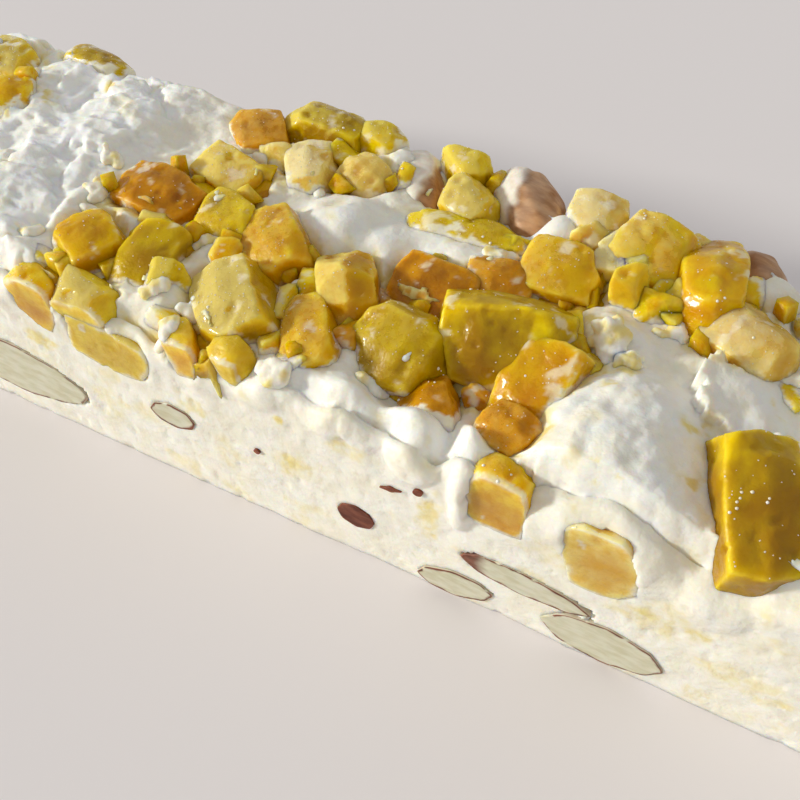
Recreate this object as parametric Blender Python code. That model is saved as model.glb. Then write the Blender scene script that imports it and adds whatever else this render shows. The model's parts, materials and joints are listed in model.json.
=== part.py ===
"""Soft white nougat bar with candied citrus pressed into its top and almonds in the paste.

The bar lies along X with its middle on the origin and its flat base on z = 0.
Sizes in the tables are millimetres and are turned into metres where they are used.
"""

import math
import random
from collections import namedtuple

import bmesh
import bpy
from mathutils import Euler, Matrix, Vector, noise

MM = 0.001

# ---------------------------------------------------------------- driving sizes
LENGTH = 150.0 * MM
WIDTH = 38.0 * MM
HEIGHT = 23.0 * MM
GAP = 0.3 * MM                    # clearance left between two touching pieces
TINY = 0.001 * MM                 # what counts as lying on a plane

# ---------------------------------------------------------------- nougat block
CELLS_LONG = 88
CELLS_WIDE = 22
CELLS_HIGH = 7
BASE_SNAP = 0.02 * MM             # points this low are part of the flat base
KEPT_SHARE = 0.205                # share of the block's triangles kept, most of them on relief
SHOULDER = 2.6 * MM               # radius of the worn long top edges
SHOULDER_LEAN = 0.4 * MM          # how far the top edge leans in over the sides
SIDE_WAVE = 0.45 * MM             # how far the cut sides sink between their high spots
LEDGE_LONG = 9.0 * MM             # spacing of the ledges along the side
LEDGE_HIGH = 3.5 * MM             # and up the side
LEDGE_START = 0.35                # noise below this leaves the side at its full width
TOP_WAVE = 0.55 * MM              # how uneven the spread top is
WAVE_SPAN = 7.0 * MM              # spacing of those waves
LUMP_ROUND = 0.75                 # a lump's profile: 0.5 is a dome, 1 a parabola
TEAR_DEPTH = 1.1 * MM             # relief of the torn, flaky stretch
TEAR_SPAN = 5.0 * MM              # spacing of its flakes
TEAR_FLOOR = 0.25                 # share of a flake's relief that lies below the top
TEAR_FROM = -52.0 * MM
TEAR_TO = -25.0 * MM
FADE = 5.0 * MM                   # the torn stretch fades in and out over this length

# Lumps and hollows of the paste: middle, half sizes, turn in degrees, height.
Lump = namedtuple("Lump", "x y half_x half_y turn height")
LUMPS = (
    Lump(37.0, -11.2, 8.6, 11.2, 14, 3.4),        # the large dome
    Lump(45.4, -1.8, 5.6, 4.0, -25, 2.2),         # the flap that laps over the dome
    Lump(31.4, 1.4, 5.0, 3.4, -10, 1.7),
    Lump(21.0, 12.2, 3.0, 3.6, 10, 2.8),
    Lump(43.0, 14.5, 2.8, 3.6, 0, 1.9),
    Lump(-0.6, 3.4, 4.6, 5.4, -35, 2.4),
    Lump(6.0, 3.2, 3.4, 3.8, 10, 1.4),
    Lump(12.0, 5.0, 6.2, 2.9, -4, 1.5),
    Lump(0.5, 15.0, 3.4, 4.6, -40, 2.1),
    Lump(10.6, 18.0, 2.6, 2.4, 0, 1.9),
    Lump(5.6, -18.0, 3.6, 2.8, 0, 1.6),
    Lump(11.4, -17.8, 3.0, 2.6, 0, 1.7),
    Lump(18.6, -16.8, 2.5, 3.8, 10, 2.2),
    Lump(24.2, -17.4, 1.6, 3.6, 14, 2.4),
    Lump(-11.0, -12.6, 2.6, 4.6, 8, 1.6),
    Lump(-9.2, -6.0, 3.0, 2.4, -30, 1.4),
    Lump(-22.0, -5.2, 4.0, 1.9, 10, 1.3),
    Lump(-27.2, -8.4, 1.7, 4.2, 4, 1.5),
    Lump(-10.2, 6.4, 2.5, 4.0, -20, 1.3),
    Lump(-12.0, 12.4, 1.9, 2.6, 0, 1.2),
    Lump(-31.0, 4.0, 6.5, 8.0, 20, 0.9),
    Lump(-36.0, -5.0, 5.0, 6.0, -20, 0.9),
    Lump(-25.6, 13.0, 5.0, 4.4, 30, 0.8),
    Lump(-44.5, 9.6, 3.4, 3.8, -30, 1.0),
    Lump(55.5, -5.0, 4.0, 5.5, 15, 1.7),
    Lump(53.0, 14.5, 4.4, 3.2, -10, 1.5),
    Lump(66.0, -15.0, 4.6, 3.0, 8, 1.4),
    Lump(70.5, 4.0, 3.4, 4.2, 0, 1.3),
    Lump(-57.0, 4.0, 3.6, 5.0, 25, 1.2),
    Lump(-66.0, 2.0, 4.6, 3.4, -15, 1.4),
    Lump(-55.0, -15.0, 5.0, 3.2, 10, 1.2),
    Lump(-71.0, 15.0, 3.0, 3.0, 0, 1.0),
    Lump(17.0, -12.2, 6.6, 4.0, 4, -4.2),         # the deep hollow between the fruit
    Lump(-29.0, -11.6, 1.9, 2.6, 0, -2.6),
    Lump(-1.6, 5.2, 1.4, 1.2, 0, -0.9),           # a dent in the smooth lump
    Lump(-9.0, -10.6, 2.6, 1.5, -20, -1.8),
    Lump(21.6, -16.0, 1.1, 3.4, 10, -3.6),
    Lump(25.6, -12.0, 3.6, 3.2, 0, -2.8),         # the hollow goes on under the orange peel
    Lump(46.0, -8.0, 1.5, 4.5, 30, -1.6),
)

# Candied fruit: middle on the top plane, rise of its upper face over the paste, size
# (long, wide, thick), turn about Z, lean about its own X and Y, taper, bend and bluntness.
Fruit = namedtuple("Fruit", "name x y rise long wide thick turn lean roll taper bend blunt")
FRUIT = (
    # far row, left to right
    Fruit("citron_01", -42.8, 15.9, 0.3, 10.2, 4.4, 5.0, -8, -12, 0, 0.2, 0.0, 5),
    Fruit("lemon_01", -52.8, 11.2, 0.7, 7.8, 6.2, 5.0, -6, 6, 0, 0.1, 0.0, 6),
    Fruit("orange_01", -46.6, 4.2, 1.0, 8.4, 6.0, 6.0, -62, 0, 12, 0.25, 0.1, 5),
    Fruit("citron_02", -9.9, 16.6, 1.7, 9.0, 5.2, 6.0, 2, -14, 0, 0.1, 0.0, 6),
    Fruit("citron_03", -3.5, 17.3, 1.9, 5.0, 3.4, 6.0, -14, -10, 0, 0.15, 0.0, 5),
    Fruit("amber_01", -16.6, 13.2, 1.4, 7.8, 5.8, 6.0, -44, 10, 8, 0.15, 0.0, 6),
    Fruit("peel_01", -7.8, 10.0, 1.6, 7.2, 5.0, 5.0, -62, 12, 0, 0.15, 0.0, 5),
    Fruit("peel_02", -1.6, 11.4, 1.7, 5.6, 4.6, 5.0, -20, 14, 0, 0.05, 0.0, 3),
    Fruit("citron_04", 7.5, 17.6, 2.3, 7.2, 4.4, 6.0, -44, -8, 0, 0.2, 0.1, 4),
    Fruit("lemon_02", 10.4, 12.4, 2.2, 5.6, 4.8, 5.0, -15, 18, 0, 0.1, 0.0, 5),
    Fruit("peel_03", 23.5, 16.0, 2.4, 5.4, 5.4, 6.0, 10, 8, 0, 0.05, 0.0, 5),
    Fruit("orange_02", 30.4, 13.4, 2.5, 7.6, 9.0, 6.0, -8, 12, 4, 0.1, 0.0, 5),
    Fruit("orange_03", 37.2, 12.4, 2.2, 12.6, 6.4, 6.0, -72, 0, -10, 0.15, 0.16, 4),
    Fruit("peel_04", 43.2, 6.9, 1.7, 9.2, 6.6, 6.0, -24, 14, 0, 0.1, 0.0, 4),
    Fruit("lemon_03", 49.8, 12.6, 1.2, 6.6, 6.2, 5.0, -35, 8, 0, 0.1, 0.0, 5),
    # middle row
    Fruit("orange_04", -15.9, 5.6, 1.9, 8.8, 5.4, 6.0, -14, 16, 0, 0.12, 0.0, 5),
    Fruit("amber_02", -20.4, -1.0, 1.2, 9.8, 5.8, 6.0, -6, 12, 0, 0.1, 0.1, 5),
    Fruit("citron_05", -11.3, -1.2, 1.4, 8.2, 5.2, 5.5, -12, 14, 0, 0.18, 0.0, 4),
    Fruit("orange_05", -4.6, -2.2, 1.9, 9.8, 6.0, 7.0, -46, 18, 0, 0.1, 0.0, 5),
    Fruit("citron_06", 12.2, 8.4, 0.9, 14.0, 3.4, 4.5, 4, 6, 0, 0.1, 0.04, 5),
    Fruit("orange_06", 5.2, -5.0, 1.7, 10.8, 5.8, 9.0, -60, 0, 20, 0.28, 0.22, 4),
    Fruit("amber_03", 12.6, 0.5, 0.7, 9.2, 6.6, 6.0, -8, 20, 0, 0.1, 0.0, 5),
    Fruit("amber_04", 17.9, 3.4, 0.8, 5.8, 4.2, 5.0, 14, 18, 0, 0.05, 0.0, 6),
    Fruit("orange_07", 23.4, 7.6, 2.0, 7.0, 5.8, 6.0, 6, 20, 0, 0.14, 0.0, 6),
    Fruit("citron_07", 22.0, -3.4, 2.8, 12.2, 8.4, 9.0, 14, 48, 0, 0.1, 0.0, 6),
    Fruit("orange_08", 27.3, -6.2, 1.6, 6.2, 9.2, 8.0, -10, 34, -6, 0.05, 0.0, 6),
    Fruit("citron_08", 13.2, -8.6, 1.6, 9.4, 9.0, 6.6, -14, 34, 0, 0.1, 0.0, 3),
    Fruit("citron_09", 48.7, -10.4, 2.6, 13.4, 7.6, 9.0, -66, 0, 16, 0.12, 0.0, 6),
    # near row
    Fruit("orange_09", -22.3, -10.8, 1.4, 6.4, 5.8, 6.0, -28, 12, 0, 0.08, 0.0, 6),
    Fruit("citron_10", -15.4, -10.0, 1.2, 5.4, 8.8, 6.0, 2, 18, 0, 0.08, 0.0, 6),
    Fruit("orange_10", -24.4, -17.4, -0.4, 5.8, 4.6, 7.0, -30, 20, 0, 0.15, 0.0, 4),
    Fruit("lemon_04", -18.6, -16.4, 0.2, 8.8, 4.8, 5.0, -8, 26, 0, 0.08, 0.0, 5),
    Fruit("lemon_05", -3.4, -10.8, 2.3, 9.8, 7.0, 9.0, -46, 30, 0, 0.08, 0.0, 7),
    Fruit("orange_11", 5.0, -11.2, 1.2, 9.4, 4.8, 7.0, -56, 24, 0, 0.1, 0.0, 5),
    Fruit("lemon_06", -0.6, -17.0, 0.9, 4.8, 3.8, 5.0, -30, 20, 0, 0.05, 0.0, 3),
    Fruit("orange_12", -6.4, -17.6, 0.2, 5.0, 3.0, 5.0, -50, 14, 0, 0.1, 0.0, 5),
    Fruit("amber_05", 18.8, -13.2, -0.8, 8.0, 5.0, 6.0, -56, 14, 0, 0.15, 0.2, 4),
    Fruit("amber_06", 26.4, -12.6, 0.3, 5.2, 4.8, 5.6, -20, 16, 0, 0.05, 0.0, 5),
    Fruit("orange_13", 28.2, -17.8, -0.4, 6.0, 4.6, 7.8, -6, 10, 0, 0.05, 0.0, 5),
    Fruit("lemon_07", -15.8, -18.7, -2.4, 11.0, 3.2, 6.4, 0, 0, 4, 0.1, 0.0, 5),
    Fruit("peel_05", 38.6, -18.7, -1.8, 7.0, 3.6, 8.6, 0, 0, -12, 0.1, 0.0, 4),
    # the two ends of the bar
    Fruit("orange_14", 57.6, 7.0, 1.6, 7.8, 6.4, 6.0, 24, 10, 0, 0.12, 0.0, 5),
    Fruit("citron_11", 64.6, -5.4, 1.9, 10.0, 6.4, 6.0, -30, 6, 10, 0.14, 0.0, 5),
    Fruit("amber_07", 71.4, 11.4, 1.4, 9.0, 6.4, 6.0, -8, -8, 0, 0.15, 0.1, 5),
    Fruit("orange_15", -66.4, 10.2, 1.5, 9.0, 6.4, 6.0, -20, -6, 0, 0.16, 0.0, 5),
    Fruit("citron_12", -62.2, -6.4, 1.4, 8.4, 6.2, 6.0, 34, 8, 0, 0.10, 0.0, 5),
    Fruit("lemon_08", -71.8, -11.2, 1.0, 8.0, 6.0, 5.5, 10, 10, 0, 0.1, 0.0, 5),
    Fruit("amber_08", -47.6, -9.4, 1.3, 8.0, 5.8, 6.0, -50, 8, 0, 0.14, 0.1, 5),
)

# Almonds: middle, size (long, wide, thick) and the three turns of the kernel in degrees.
Nut = namedtuple("Nut", "name x y z long wide thick spin tip turn")
NUTS = (
    Nut("almond_01", -30.3, -17.6, 6.9, 22.0, 10.4, 8.0, 90, 0, 0),
    Nut("almond_02", -8.9, -14.0, 10.8, 18.0, 8.4, 5.0, 6, 0, -84),
    Nut("almond_03", 13.2, -11.6, 7.2, 18.0, 9.6, 7.8, 0, 0, -88),
    Nut("almond_04", 25.0, -16.0, 2.9, 19.0, 10.8, 5.0, 12, 0, -96),
    Nut("almond_05", 31.8, -17.2, 8.3, 17.4, 7.0, 4.8, 0, 3, -3),
    Nut("almond_06", 40.4, -17.2, 3.9, 20.0, 14.4, 7.4, 0, 0, -74),
    Nut("almond_07", 3.6, 14.4, 20.8, 10.5, 6.0, 7.0, 20, 0, -58),
    Nut("almond_08", 16.6, 15.4, 22.0, 12.0, 7.2, 7.6, 15, 0, -48),
    Nut("almond_09", 41.8, 16.0, 21.0, 10.0, 5.4, 7.4, 10, 0, -56),
    Nut("almond_10", -24.0, 16.8, 8.6, 21.0, 10.0, 8.0, 0, 6, 170),
    Nut("almond_11", 71.0, -6.0, 9.4, 19.0, 10.4, 8.2, 24, -8, 38),
)

# Crumbs of fruit and nut too small to be lifted out: middle, height, size.
Crumb = namedtuple("Crumb", "x y z size")
CRUMBS = (
    Crumb(30.3, 7.4, 24.2, 4.4),
    Crumb(49.6, 4.2, 22.8, 4.4),
    Crumb(-37.6, 12.6, 22.6, 4.0),
    Crumb(-43.2, -2.4, 22.8, 4.4),
    Crumb(-36.8, -10.4, 22.6, 3.8),
    Crumb(3.6, -18.2, 21.2, 3.6),
    Crumb(-25.6, -18.4, 14.3, 4.6),
    Crumb(17.6, -18.6, 14.4, 2.0),
    Crumb(-51.6, 16.4, 22.0, 3.2),
    Crumb(45.4, 17.0, 22.4, 3.6),
)
CRUMB_SHAPE = (1.0, 0.85, 0.65)   # a crumb is a flattened bead of these proportions

FRUIT_CELLS = (3, 2, 2)           # faces along, across and up a piece of fruit
CORNER_SHIFT = 0.16               # uneven knife cuts, as a share of a fruit's half size
NUT_SIDES = 8
NUT_RINGS = 6
NUT_POINT = 0.30                  # how much narrower the pointed end is than the round end

COLOURS = {
    "nougat": ((0.93, 0.90, 0.84), 0.62),
    "almond": ((0.30, 0.14, 0.08), 0.55),
    "orange": ((0.86, 0.47, 0.03), 0.30),
    "amber": ((0.42, 0.16, 0.01), 0.28),
    "citron": ((0.62, 0.47, 0.03), 0.32),
    "peel": ((0.84, 0.56, 0.25), 0.40),
    "lemon": ((0.88, 0.76, 0.36), 0.42),
}


# ---------------------------------------------------------------- helpers
def clear_scene():
    """Start from an empty scene without closing this file."""
    for item in list(bpy.data.objects):
        bpy.data.objects.remove(item)


def new_collection(name):
    """A collection linked to the scene."""
    made = bpy.data.collections.new(name)
    bpy.context.scene.collection.children.link(made)
    return made


def make_material(name):
    """A Principled material with the colour and roughness of one food."""
    colour, roughness = COLOURS[name]
    material = bpy.data.materials.new(name)
    material.use_nodes = True
    shader = material.node_tree.nodes["Principled BSDF"]
    shader.inputs["Base Color"].default_value = (*colour, 1.0)
    shader.inputs["Roughness"].default_value = roughness
    shader.inputs["Metallic"].default_value = 0.0
    return material


def add_object(name, work, collection, material=None):
    """Turn a bmesh into an object in the given collection."""
    bmesh.ops.recalc_face_normals(work, faces=work.faces)
    mesh = bpy.data.meshes.new(name)
    work.to_mesh(mesh)
    work.free()
    made = bpy.data.objects.new(name, mesh)
    collection.objects.link(made)
    if material is not None:
        mesh.materials.append(material)
    return made


def hide_cutter(cutter):
    """Cutters show as wires and stay out of the part."""
    cutter.hide_render = True
    cutter.display_type = "WIRE"


def degrees(*angles):
    """Euler turn from angles in degrees."""
    return Euler([math.radians(angle) for angle in angles])


def rounded(point, power):
    """Pull a point of the cube from -1 to 1 onto a block with soft edges."""
    reach = sum(abs(value) ** power for value in point) ** (1.0 / power)
    return point / reach


# ---------------------------------------------------------------- nougat
def lump_height(lump, x, y):
    """Height that one lump or hollow adds over a spot of the top."""
    turn = math.radians(lump.turn)
    across = (x / MM - lump.x, y / MM - lump.y)
    along = (across[0] * math.cos(turn) + across[1] * math.sin(turn)) / lump.half_x
    aside = (across[1] * math.cos(turn) - across[0] * math.sin(turn)) / lump.half_y
    inside = 1.0 - along * along - aside * aside
    if inside <= 0.0:
        return 0.0
    return lump.height * MM * inside ** LUMP_ROUND


def tear_share(x):
    """0 outside the torn stretch, 1 well inside it."""
    edge = min(x - TEAR_FROM, TEAR_TO - x)
    return max(0.0, min(1.0, edge / FADE))


def top_height(x, y):
    """Height of the paste over the base at a spot of the top."""
    waves = TOP_WAVE * noise.noise(Vector((x, y, 0.0)) / WAVE_SPAN)
    flakes = Vector((0.8 * x + 0.5 * y, 0.45 * y - 0.2 * x, 3.0 * MM)) / TEAR_SPAN
    torn = TEAR_DEPTH * tear_share(x) * (abs(noise.noise(flakes)) - TEAR_FLOOR)
    lumps = [lump_height(lump, x, y) for lump in LUMPS]
    return HEIGHT + waves + torn + max(lumps) + min(min(lumps), 0.0)


def shoulder_drop(y):
    """How far the rounded long edge lies below the top, near the sides."""
    depth = SHOULDER - (WIDTH / 2 - abs(y))
    if depth <= 0.0:
        return 0.0
    return SHOULDER - math.sqrt(SHOULDER ** 2 - min(depth, SHOULDER) ** 2)


def side_inset(x, y, z):
    """How far the cut side lies inside the full width, with a few faint ledges."""
    spot = Vector((x / LEDGE_LONG, 0.5 * y / MM, z / LEDGE_HIGH))
    ledges = 0.5 + 0.5 * noise.noise(spot)
    return SIDE_WAVE * max(0.0, ledges - LEDGE_START)


def split_along(work, axis, cells):
    """Cut every edge that runs along one axis into equal cells."""
    edges = [
        edge for edge in work.edges
        if abs((edge.verts[0].co - edge.verts[1].co).normalized()[axis]) > 0.9
    ]
    bmesh.ops.subdivide_edges(work, edges=edges, cuts=cells - 1, use_grid_fill=True)


def shape_block(work):
    """Give the gridded block its worn shoulders, its lumps and its cut sides."""
    for vert in work.verts:
        x, y, z = vert.co
        on_top = z > HEIGHT - TINY
        on_side = abs(y) > WIDTH / 2 - TINY
        if on_top:
            vert.co.z = top_height(x, y) - shoulder_drop(y)
        if on_side and abs(x) < LENGTH / 2 - TINY:
            lean = SHOULDER_LEAN if on_top else 0.0
            vert.co.y -= math.copysign(side_inset(x, y, z) + lean, y)


def square_up(nougat):
    """Put points that drifted past the cut faces back on them."""
    limits = (LENGTH / 2, WIDTH / 2)
    for vert in nougat.data.vertices:
        for axis, limit in enumerate(limits):
            vert.co[axis] = max(-limit, min(limit, vert.co[axis]))
        if vert.co.z < BASE_SNAP:
            vert.co.z = 0.0


def build_nougat(parts, material):
    """The paste: a gridded block whose surface follows the named lumps and waves."""
    work = bmesh.new()
    bmesh.ops.create_cube(work, size=1.0)
    bmesh.ops.scale(work, vec=(LENGTH, WIDTH, HEIGHT), verts=work.verts)
    bmesh.ops.translate(work, vec=(0.0, 0.0, HEIGHT / 2), verts=work.verts)
    for axis, cells in enumerate((CELLS_LONG, CELLS_WIDE, CELLS_HIGH)):
        split_along(work, axis, cells)
    shape_block(work)
    nougat = add_object("nougat", work, parts, material)
    fewer = nougat.modifiers.new("Fewer", "DECIMATE")
    fewer.ratio = KEPT_SHARE
    apply_modifiers(nougat)
    square_up(nougat)
    return nougat


def add_boolean(target, collection, operation, solver="EXACT"):
    """One Boolean of a whole collection on an object."""
    boolean = target.modifiers.new(operation.title(), "BOOLEAN")
    boolean.operand_type = "COLLECTION"
    boolean.collection = collection
    boolean.operation = operation
    boolean.solver = solver


def apply_modifiers(target):
    """Replace an object's mesh by its evaluated mesh."""
    bpy.context.view_layer.update()
    seen = target.evaluated_get(bpy.context.evaluated_depsgraph_get())
    mesh = bpy.data.meshes.new_from_object(seen)
    target.modifiers.clear()
    target.data = mesh


def drop_scraps(target):
    """Keep only the largest body of a mesh, also where a sliver hangs on it by one edge."""
    work = bmesh.new()
    work.from_mesh(target.data)
    left = set(work.faces)
    bodies = []
    while left:
        body = [left.pop()]
        for face in body:
            shared = [edge for edge in face.edges if len(edge.link_faces) == 2]
            near = {other for edge in shared for other in edge.link_faces} & left
            left -= near
            body.extend(near)
        bodies.append(body)
    bodies.sort(key=len)
    scraps = [face for body in bodies[:-1] for face in body]
    bmesh.ops.delete(work, geom=scraps, context="FACES")
    work.to_mesh(target.data)
    work.free()


def fuse_crumbs(nougat):
    """Join the small crumbs to the paste with one union and remove their objects."""
    crumbs = new_collection("crumbs")
    for number, crumb in enumerate(CRUMBS):
        work = bmesh.new()
        bmesh.ops.create_icosphere(work, subdivisions=1, radius=0.5 * crumb.size * MM)
        bmesh.ops.scale(work, vec=CRUMB_SHAPE, verts=work.verts)
        place = Matrix.Translation(Vector((crumb.x, crumb.y, crumb.z)) * MM)
        trim(work, place)
        made = add_object(f"crumb_{number:02d}", work, crumbs)
        made.matrix_world = place
    add_boolean(nougat, crumbs, "UNION")
    apply_modifiers(nougat)
    for made in list(crumbs.objects):
        bpy.data.objects.remove(made)
    bpy.data.collections.remove(crumbs)


# ---------------------------------------------------------------- candied fruit
def uneven_corner(point, shifts):
    """Blend the eight corner shifts over a block, as a hand-held knife cuts it."""
    total = Vector()
    for corner, shift in shifts.items():
        weight = 1.0
        for value, side in zip(point, corner):
            weight *= 0.5 * (1.0 + side * value)
        total += weight * shift
    return point + total


def fruit_bmesh(fruit, grow=0.0):
    """A cut block of candied fruit in its own frame, enlarged by a clearance if asked."""
    work = bmesh.new()
    bmesh.ops.create_cube(work, size=2.0)
    for axis, cells in enumerate(FRUIT_CELLS):
        split_along(work, axis, cells)
    draw = random.Random(fruit.name)
    signs = (-1.0, 1.0)
    corners = [(i, j, k) for i in signs for j in signs for k in signs]
    shifts = {
        corner: Vector([draw.uniform(-CORNER_SHIFT, CORNER_SHIFT) for _ in range(3)])
        for corner in corners
    }
    half = Vector((fruit.long, fruit.wide, fruit.thick)) * 0.5 * MM
    for vert in work.verts:
        point = uneven_corner(rounded(vert.co, fruit.blunt), shifts)
        point.y *= 1.0 - fruit.taper * (point.x + 1.0) / 2
        point.z += fruit.bend * (1.0 - 2.0 * point.x ** 2)
        vert.co = Vector((point.x * half.x, point.y * half.y, point.z * half.z))
    if grow:
        swell(work, grow)
    return work


def swell(work, distance):
    """Move every point of a closed piece outwards."""
    bmesh.ops.recalc_face_normals(work, faces=work.faces)
    work.normal_update()
    moves = [(vert, vert.normal.copy()) for vert in work.verts]
    for vert, normal in moves:
        vert.co += normal * distance


def fruit_matrix(fruit):
    """Where a piece of fruit sits, its upper face at its stated rise."""
    turn = degrees(0, 0, fruit.turn).to_matrix() @ degrees(fruit.lean, fruit.roll, 0).to_matrix()
    middle = HEIGHT + (fruit.rise - fruit.thick / 2) * MM
    place = Matrix.Translation((fruit.x * MM, fruit.y * MM, middle))
    return place @ turn.to_4x4()


def trim(work, matrix):
    """Cut a placed piece flush with the four cut faces of the bar and cap it there."""
    inverse = matrix.inverted()
    for way in ((1, 0, 0), (-1, 0, 0), (0, 1, 0), (0, -1, 0)):
        outward = Vector(way)
        reach = LENGTH / 2 if outward.x else WIDTH / 2
        normal = (inverse.to_3x3() @ outward).normalized()
        everything = work.verts[:] + work.edges[:] + work.faces[:]
        cut = bmesh.ops.bisect_plane(
            work, geom=everything, dist=TINY, plane_co=inverse @ (outward * reach),
            plane_no=normal, clear_outer=True)
        rim = [item for item in cut["geom_cut"] if isinstance(item, bmesh.types.BMEdge)]
        if rim:
            bmesh.ops.edgeloop_fill(work, edges=rim)


def build_fruit(parts, cutters, materials):
    """Every candied piece, and the pocket cutter that makes room for it."""
    pieces = []
    for fruit in FRUIT:
        matrix = fruit_matrix(fruit)
        work = fruit_bmesh(fruit)
        trim(work, matrix)
        piece = add_object(fruit.name, work, parts, materials[fruit.name.split("_")[0]])
        piece.matrix_world = matrix
        cutter = add_object("pocket_" + fruit.name, fruit_bmesh(fruit, GAP), cutters)
        cutter.matrix_world = matrix
        hide_cutter(cutter)
        pieces.append((piece, cutter))
    return pieces


# ---------------------------------------------------------------- almonds
def nut_bmesh(nut, grow=0.0):
    """A whole kernel along X, round at one end and pointed at the other."""
    work = bmesh.new()
    bmesh.ops.create_uvsphere(work, u_segments=NUT_SIDES, v_segments=NUT_RINGS, radius=1.0)
    bmesh.ops.rotate(work, matrix=degrees(0, 90, 0).to_matrix(), verts=work.verts)
    half = Vector((nut.long, nut.wide, nut.thick)) * 0.5 * MM
    for vert in work.verts:
        narrow = 1.0 - NUT_POINT * (0.5 + 0.5 * vert.co.x) ** 1.5
        scaled = (vert.co.x * half.x, vert.co.y * half.y * narrow, vert.co.z * half.z * narrow)
        vert.co = Vector(scaled)
    if grow:
        swell(work, grow)
    return work


def nut_matrix(nut):
    """Where a kernel lies in the paste."""
    place = Matrix.Translation(Vector((nut.x, nut.y, nut.z)) * MM)
    return place @ degrees(nut.spin, nut.tip, nut.turn).to_matrix().to_4x4()


def build_nuts(parts, cutters, material):
    """Every almond, cut flush where it reaches a side of the bar."""
    pieces = []
    for nut in NUTS:
        matrix = nut_matrix(nut)
        work = nut_bmesh(nut)
        trim(work, matrix)
        piece = add_object(nut.name, work, parts, material)
        piece.matrix_world = matrix
        cutter = add_object("pocket_" + nut.name, nut_bmesh(nut, GAP), cutters)
        cutter.matrix_world = matrix
        hide_cutter(cutter)
        pieces.append((piece, cutter))
    return pieces


# ---------------------------------------------------------------- assembly
def world_box(target):
    """Lowest and highest corner of an object."""
    corners = [target.matrix_world @ vert.co for vert in target.data.vertices]
    low = Vector([min(corner[axis] for corner in corners) for axis in range(3)])
    high = Vector([max(corner[axis] for corner in corners) for axis in range(3)])
    return low, high


def boxes_meet(first, second):
    """Whether two boxes overlap."""
    below = all(first[0][axis] < second[1][axis] for axis in range(3))
    above = all(second[0][axis] < first[1][axis] for axis in range(3))
    return below and above


def press_together(pieces):
    """Where two pieces crowd each other, the one further back gives way to the one in front."""
    bpy.context.view_layer.update()
    ordered = sorted(pieces, key=lambda pair: pair[0].matrix_world.translation.y)
    for number, (piece, _) in enumerate(ordered):
        for _, cutter in ordered[:number]:
            if boxes_meet(world_box(piece), world_box(cutter)):
                boolean = piece.modifiers.new("Press", "BOOLEAN")
                boolean.object = cutter
                boolean.operation = "DIFFERENCE"
                boolean.solver = "EXACT"
        if piece.modifiers:
            apply_modifiers(piece)
            drop_scraps(piece)


def build_part():
    """The whole bar."""
    clear_scene()
    parts = new_collection("nougat_bar")
    cutters = new_collection("pockets")
    materials = {name: make_material(name) for name in COLOURS}
    nougat = build_nougat(parts, materials["nougat"])
    fuse_crumbs(nougat)
    pieces = build_nuts(parts, cutters, materials["almond"])
    pieces += build_fruit(parts, cutters, materials)
    press_together(pieces)
    # Dozens of pockets that run into each other leave slivers with the exact solver.
    add_boolean(nougat, cutters, "DIFFERENCE", "MANIFOLD")
    apply_modifiers(nougat)
    drop_scraps(nougat)


build_part()
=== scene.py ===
# %% [markdown]
# # A bar of soft nougat with candied citrus and almonds
#
# Soft nougat is whipped sugar and egg white: a matt white paste that tears into flakes where it
# is dry and slumps into smooth lumps where it is fresh. Cubes of candied citrus peel are pressed
# into its top, and almonds show where a knife has gone through the side.
#
# The solid model gives the frame: the true place and size of the paste, of every piece of fruit
# and of every almond. This notebook keeps those places and makes the surfaces that the eye sees.

# %% Load the frame
import json
import math
import random

import bmesh
import bpy
import numpy as np
from mathutils import Matrix, Vector, noise
from mathutils.bvhtree import BVHTree
from mathutils.geometry import convex_hull_2d
from mathutils.kdtree import KDTree

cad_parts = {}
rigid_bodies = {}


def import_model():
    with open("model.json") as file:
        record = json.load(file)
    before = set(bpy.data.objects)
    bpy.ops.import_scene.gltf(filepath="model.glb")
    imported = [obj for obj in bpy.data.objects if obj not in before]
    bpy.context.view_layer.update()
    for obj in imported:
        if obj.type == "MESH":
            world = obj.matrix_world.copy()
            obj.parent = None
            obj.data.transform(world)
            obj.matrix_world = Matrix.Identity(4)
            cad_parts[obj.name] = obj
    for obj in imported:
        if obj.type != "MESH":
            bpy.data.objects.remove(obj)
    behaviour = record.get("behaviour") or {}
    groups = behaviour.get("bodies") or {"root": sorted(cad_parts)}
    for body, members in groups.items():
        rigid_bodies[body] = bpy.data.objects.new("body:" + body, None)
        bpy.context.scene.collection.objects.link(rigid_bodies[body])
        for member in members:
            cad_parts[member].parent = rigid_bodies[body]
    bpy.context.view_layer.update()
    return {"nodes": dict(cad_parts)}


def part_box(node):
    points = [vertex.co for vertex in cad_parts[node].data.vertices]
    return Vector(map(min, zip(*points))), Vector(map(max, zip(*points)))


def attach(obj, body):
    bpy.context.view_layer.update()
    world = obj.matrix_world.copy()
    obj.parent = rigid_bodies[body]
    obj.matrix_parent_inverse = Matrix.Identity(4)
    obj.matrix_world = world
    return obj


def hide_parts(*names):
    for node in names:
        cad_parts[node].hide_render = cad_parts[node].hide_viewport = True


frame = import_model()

MM = 0.001
low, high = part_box("nougat")
LENGTH, WIDTH = high.x - low.x, high.y - low.y
print("bar", round(LENGTH / MM), "x", round(WIDTH / MM), "mm,", len(frame["nodes"]), "solids")

# %% [markdown]
# ## Camera
#
# The bar is seen from quite near, from above and from its right, so its near end runs out of the
# view and its far end leaves it at the left. A 50 mm lens at about 13 cm gives the strong
# perspective of a close-up. Everything within a hand's width has to be sharp, so the lens keeps
# no depth of field, and the clipping distance is brought in to a few millimetres.

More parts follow.
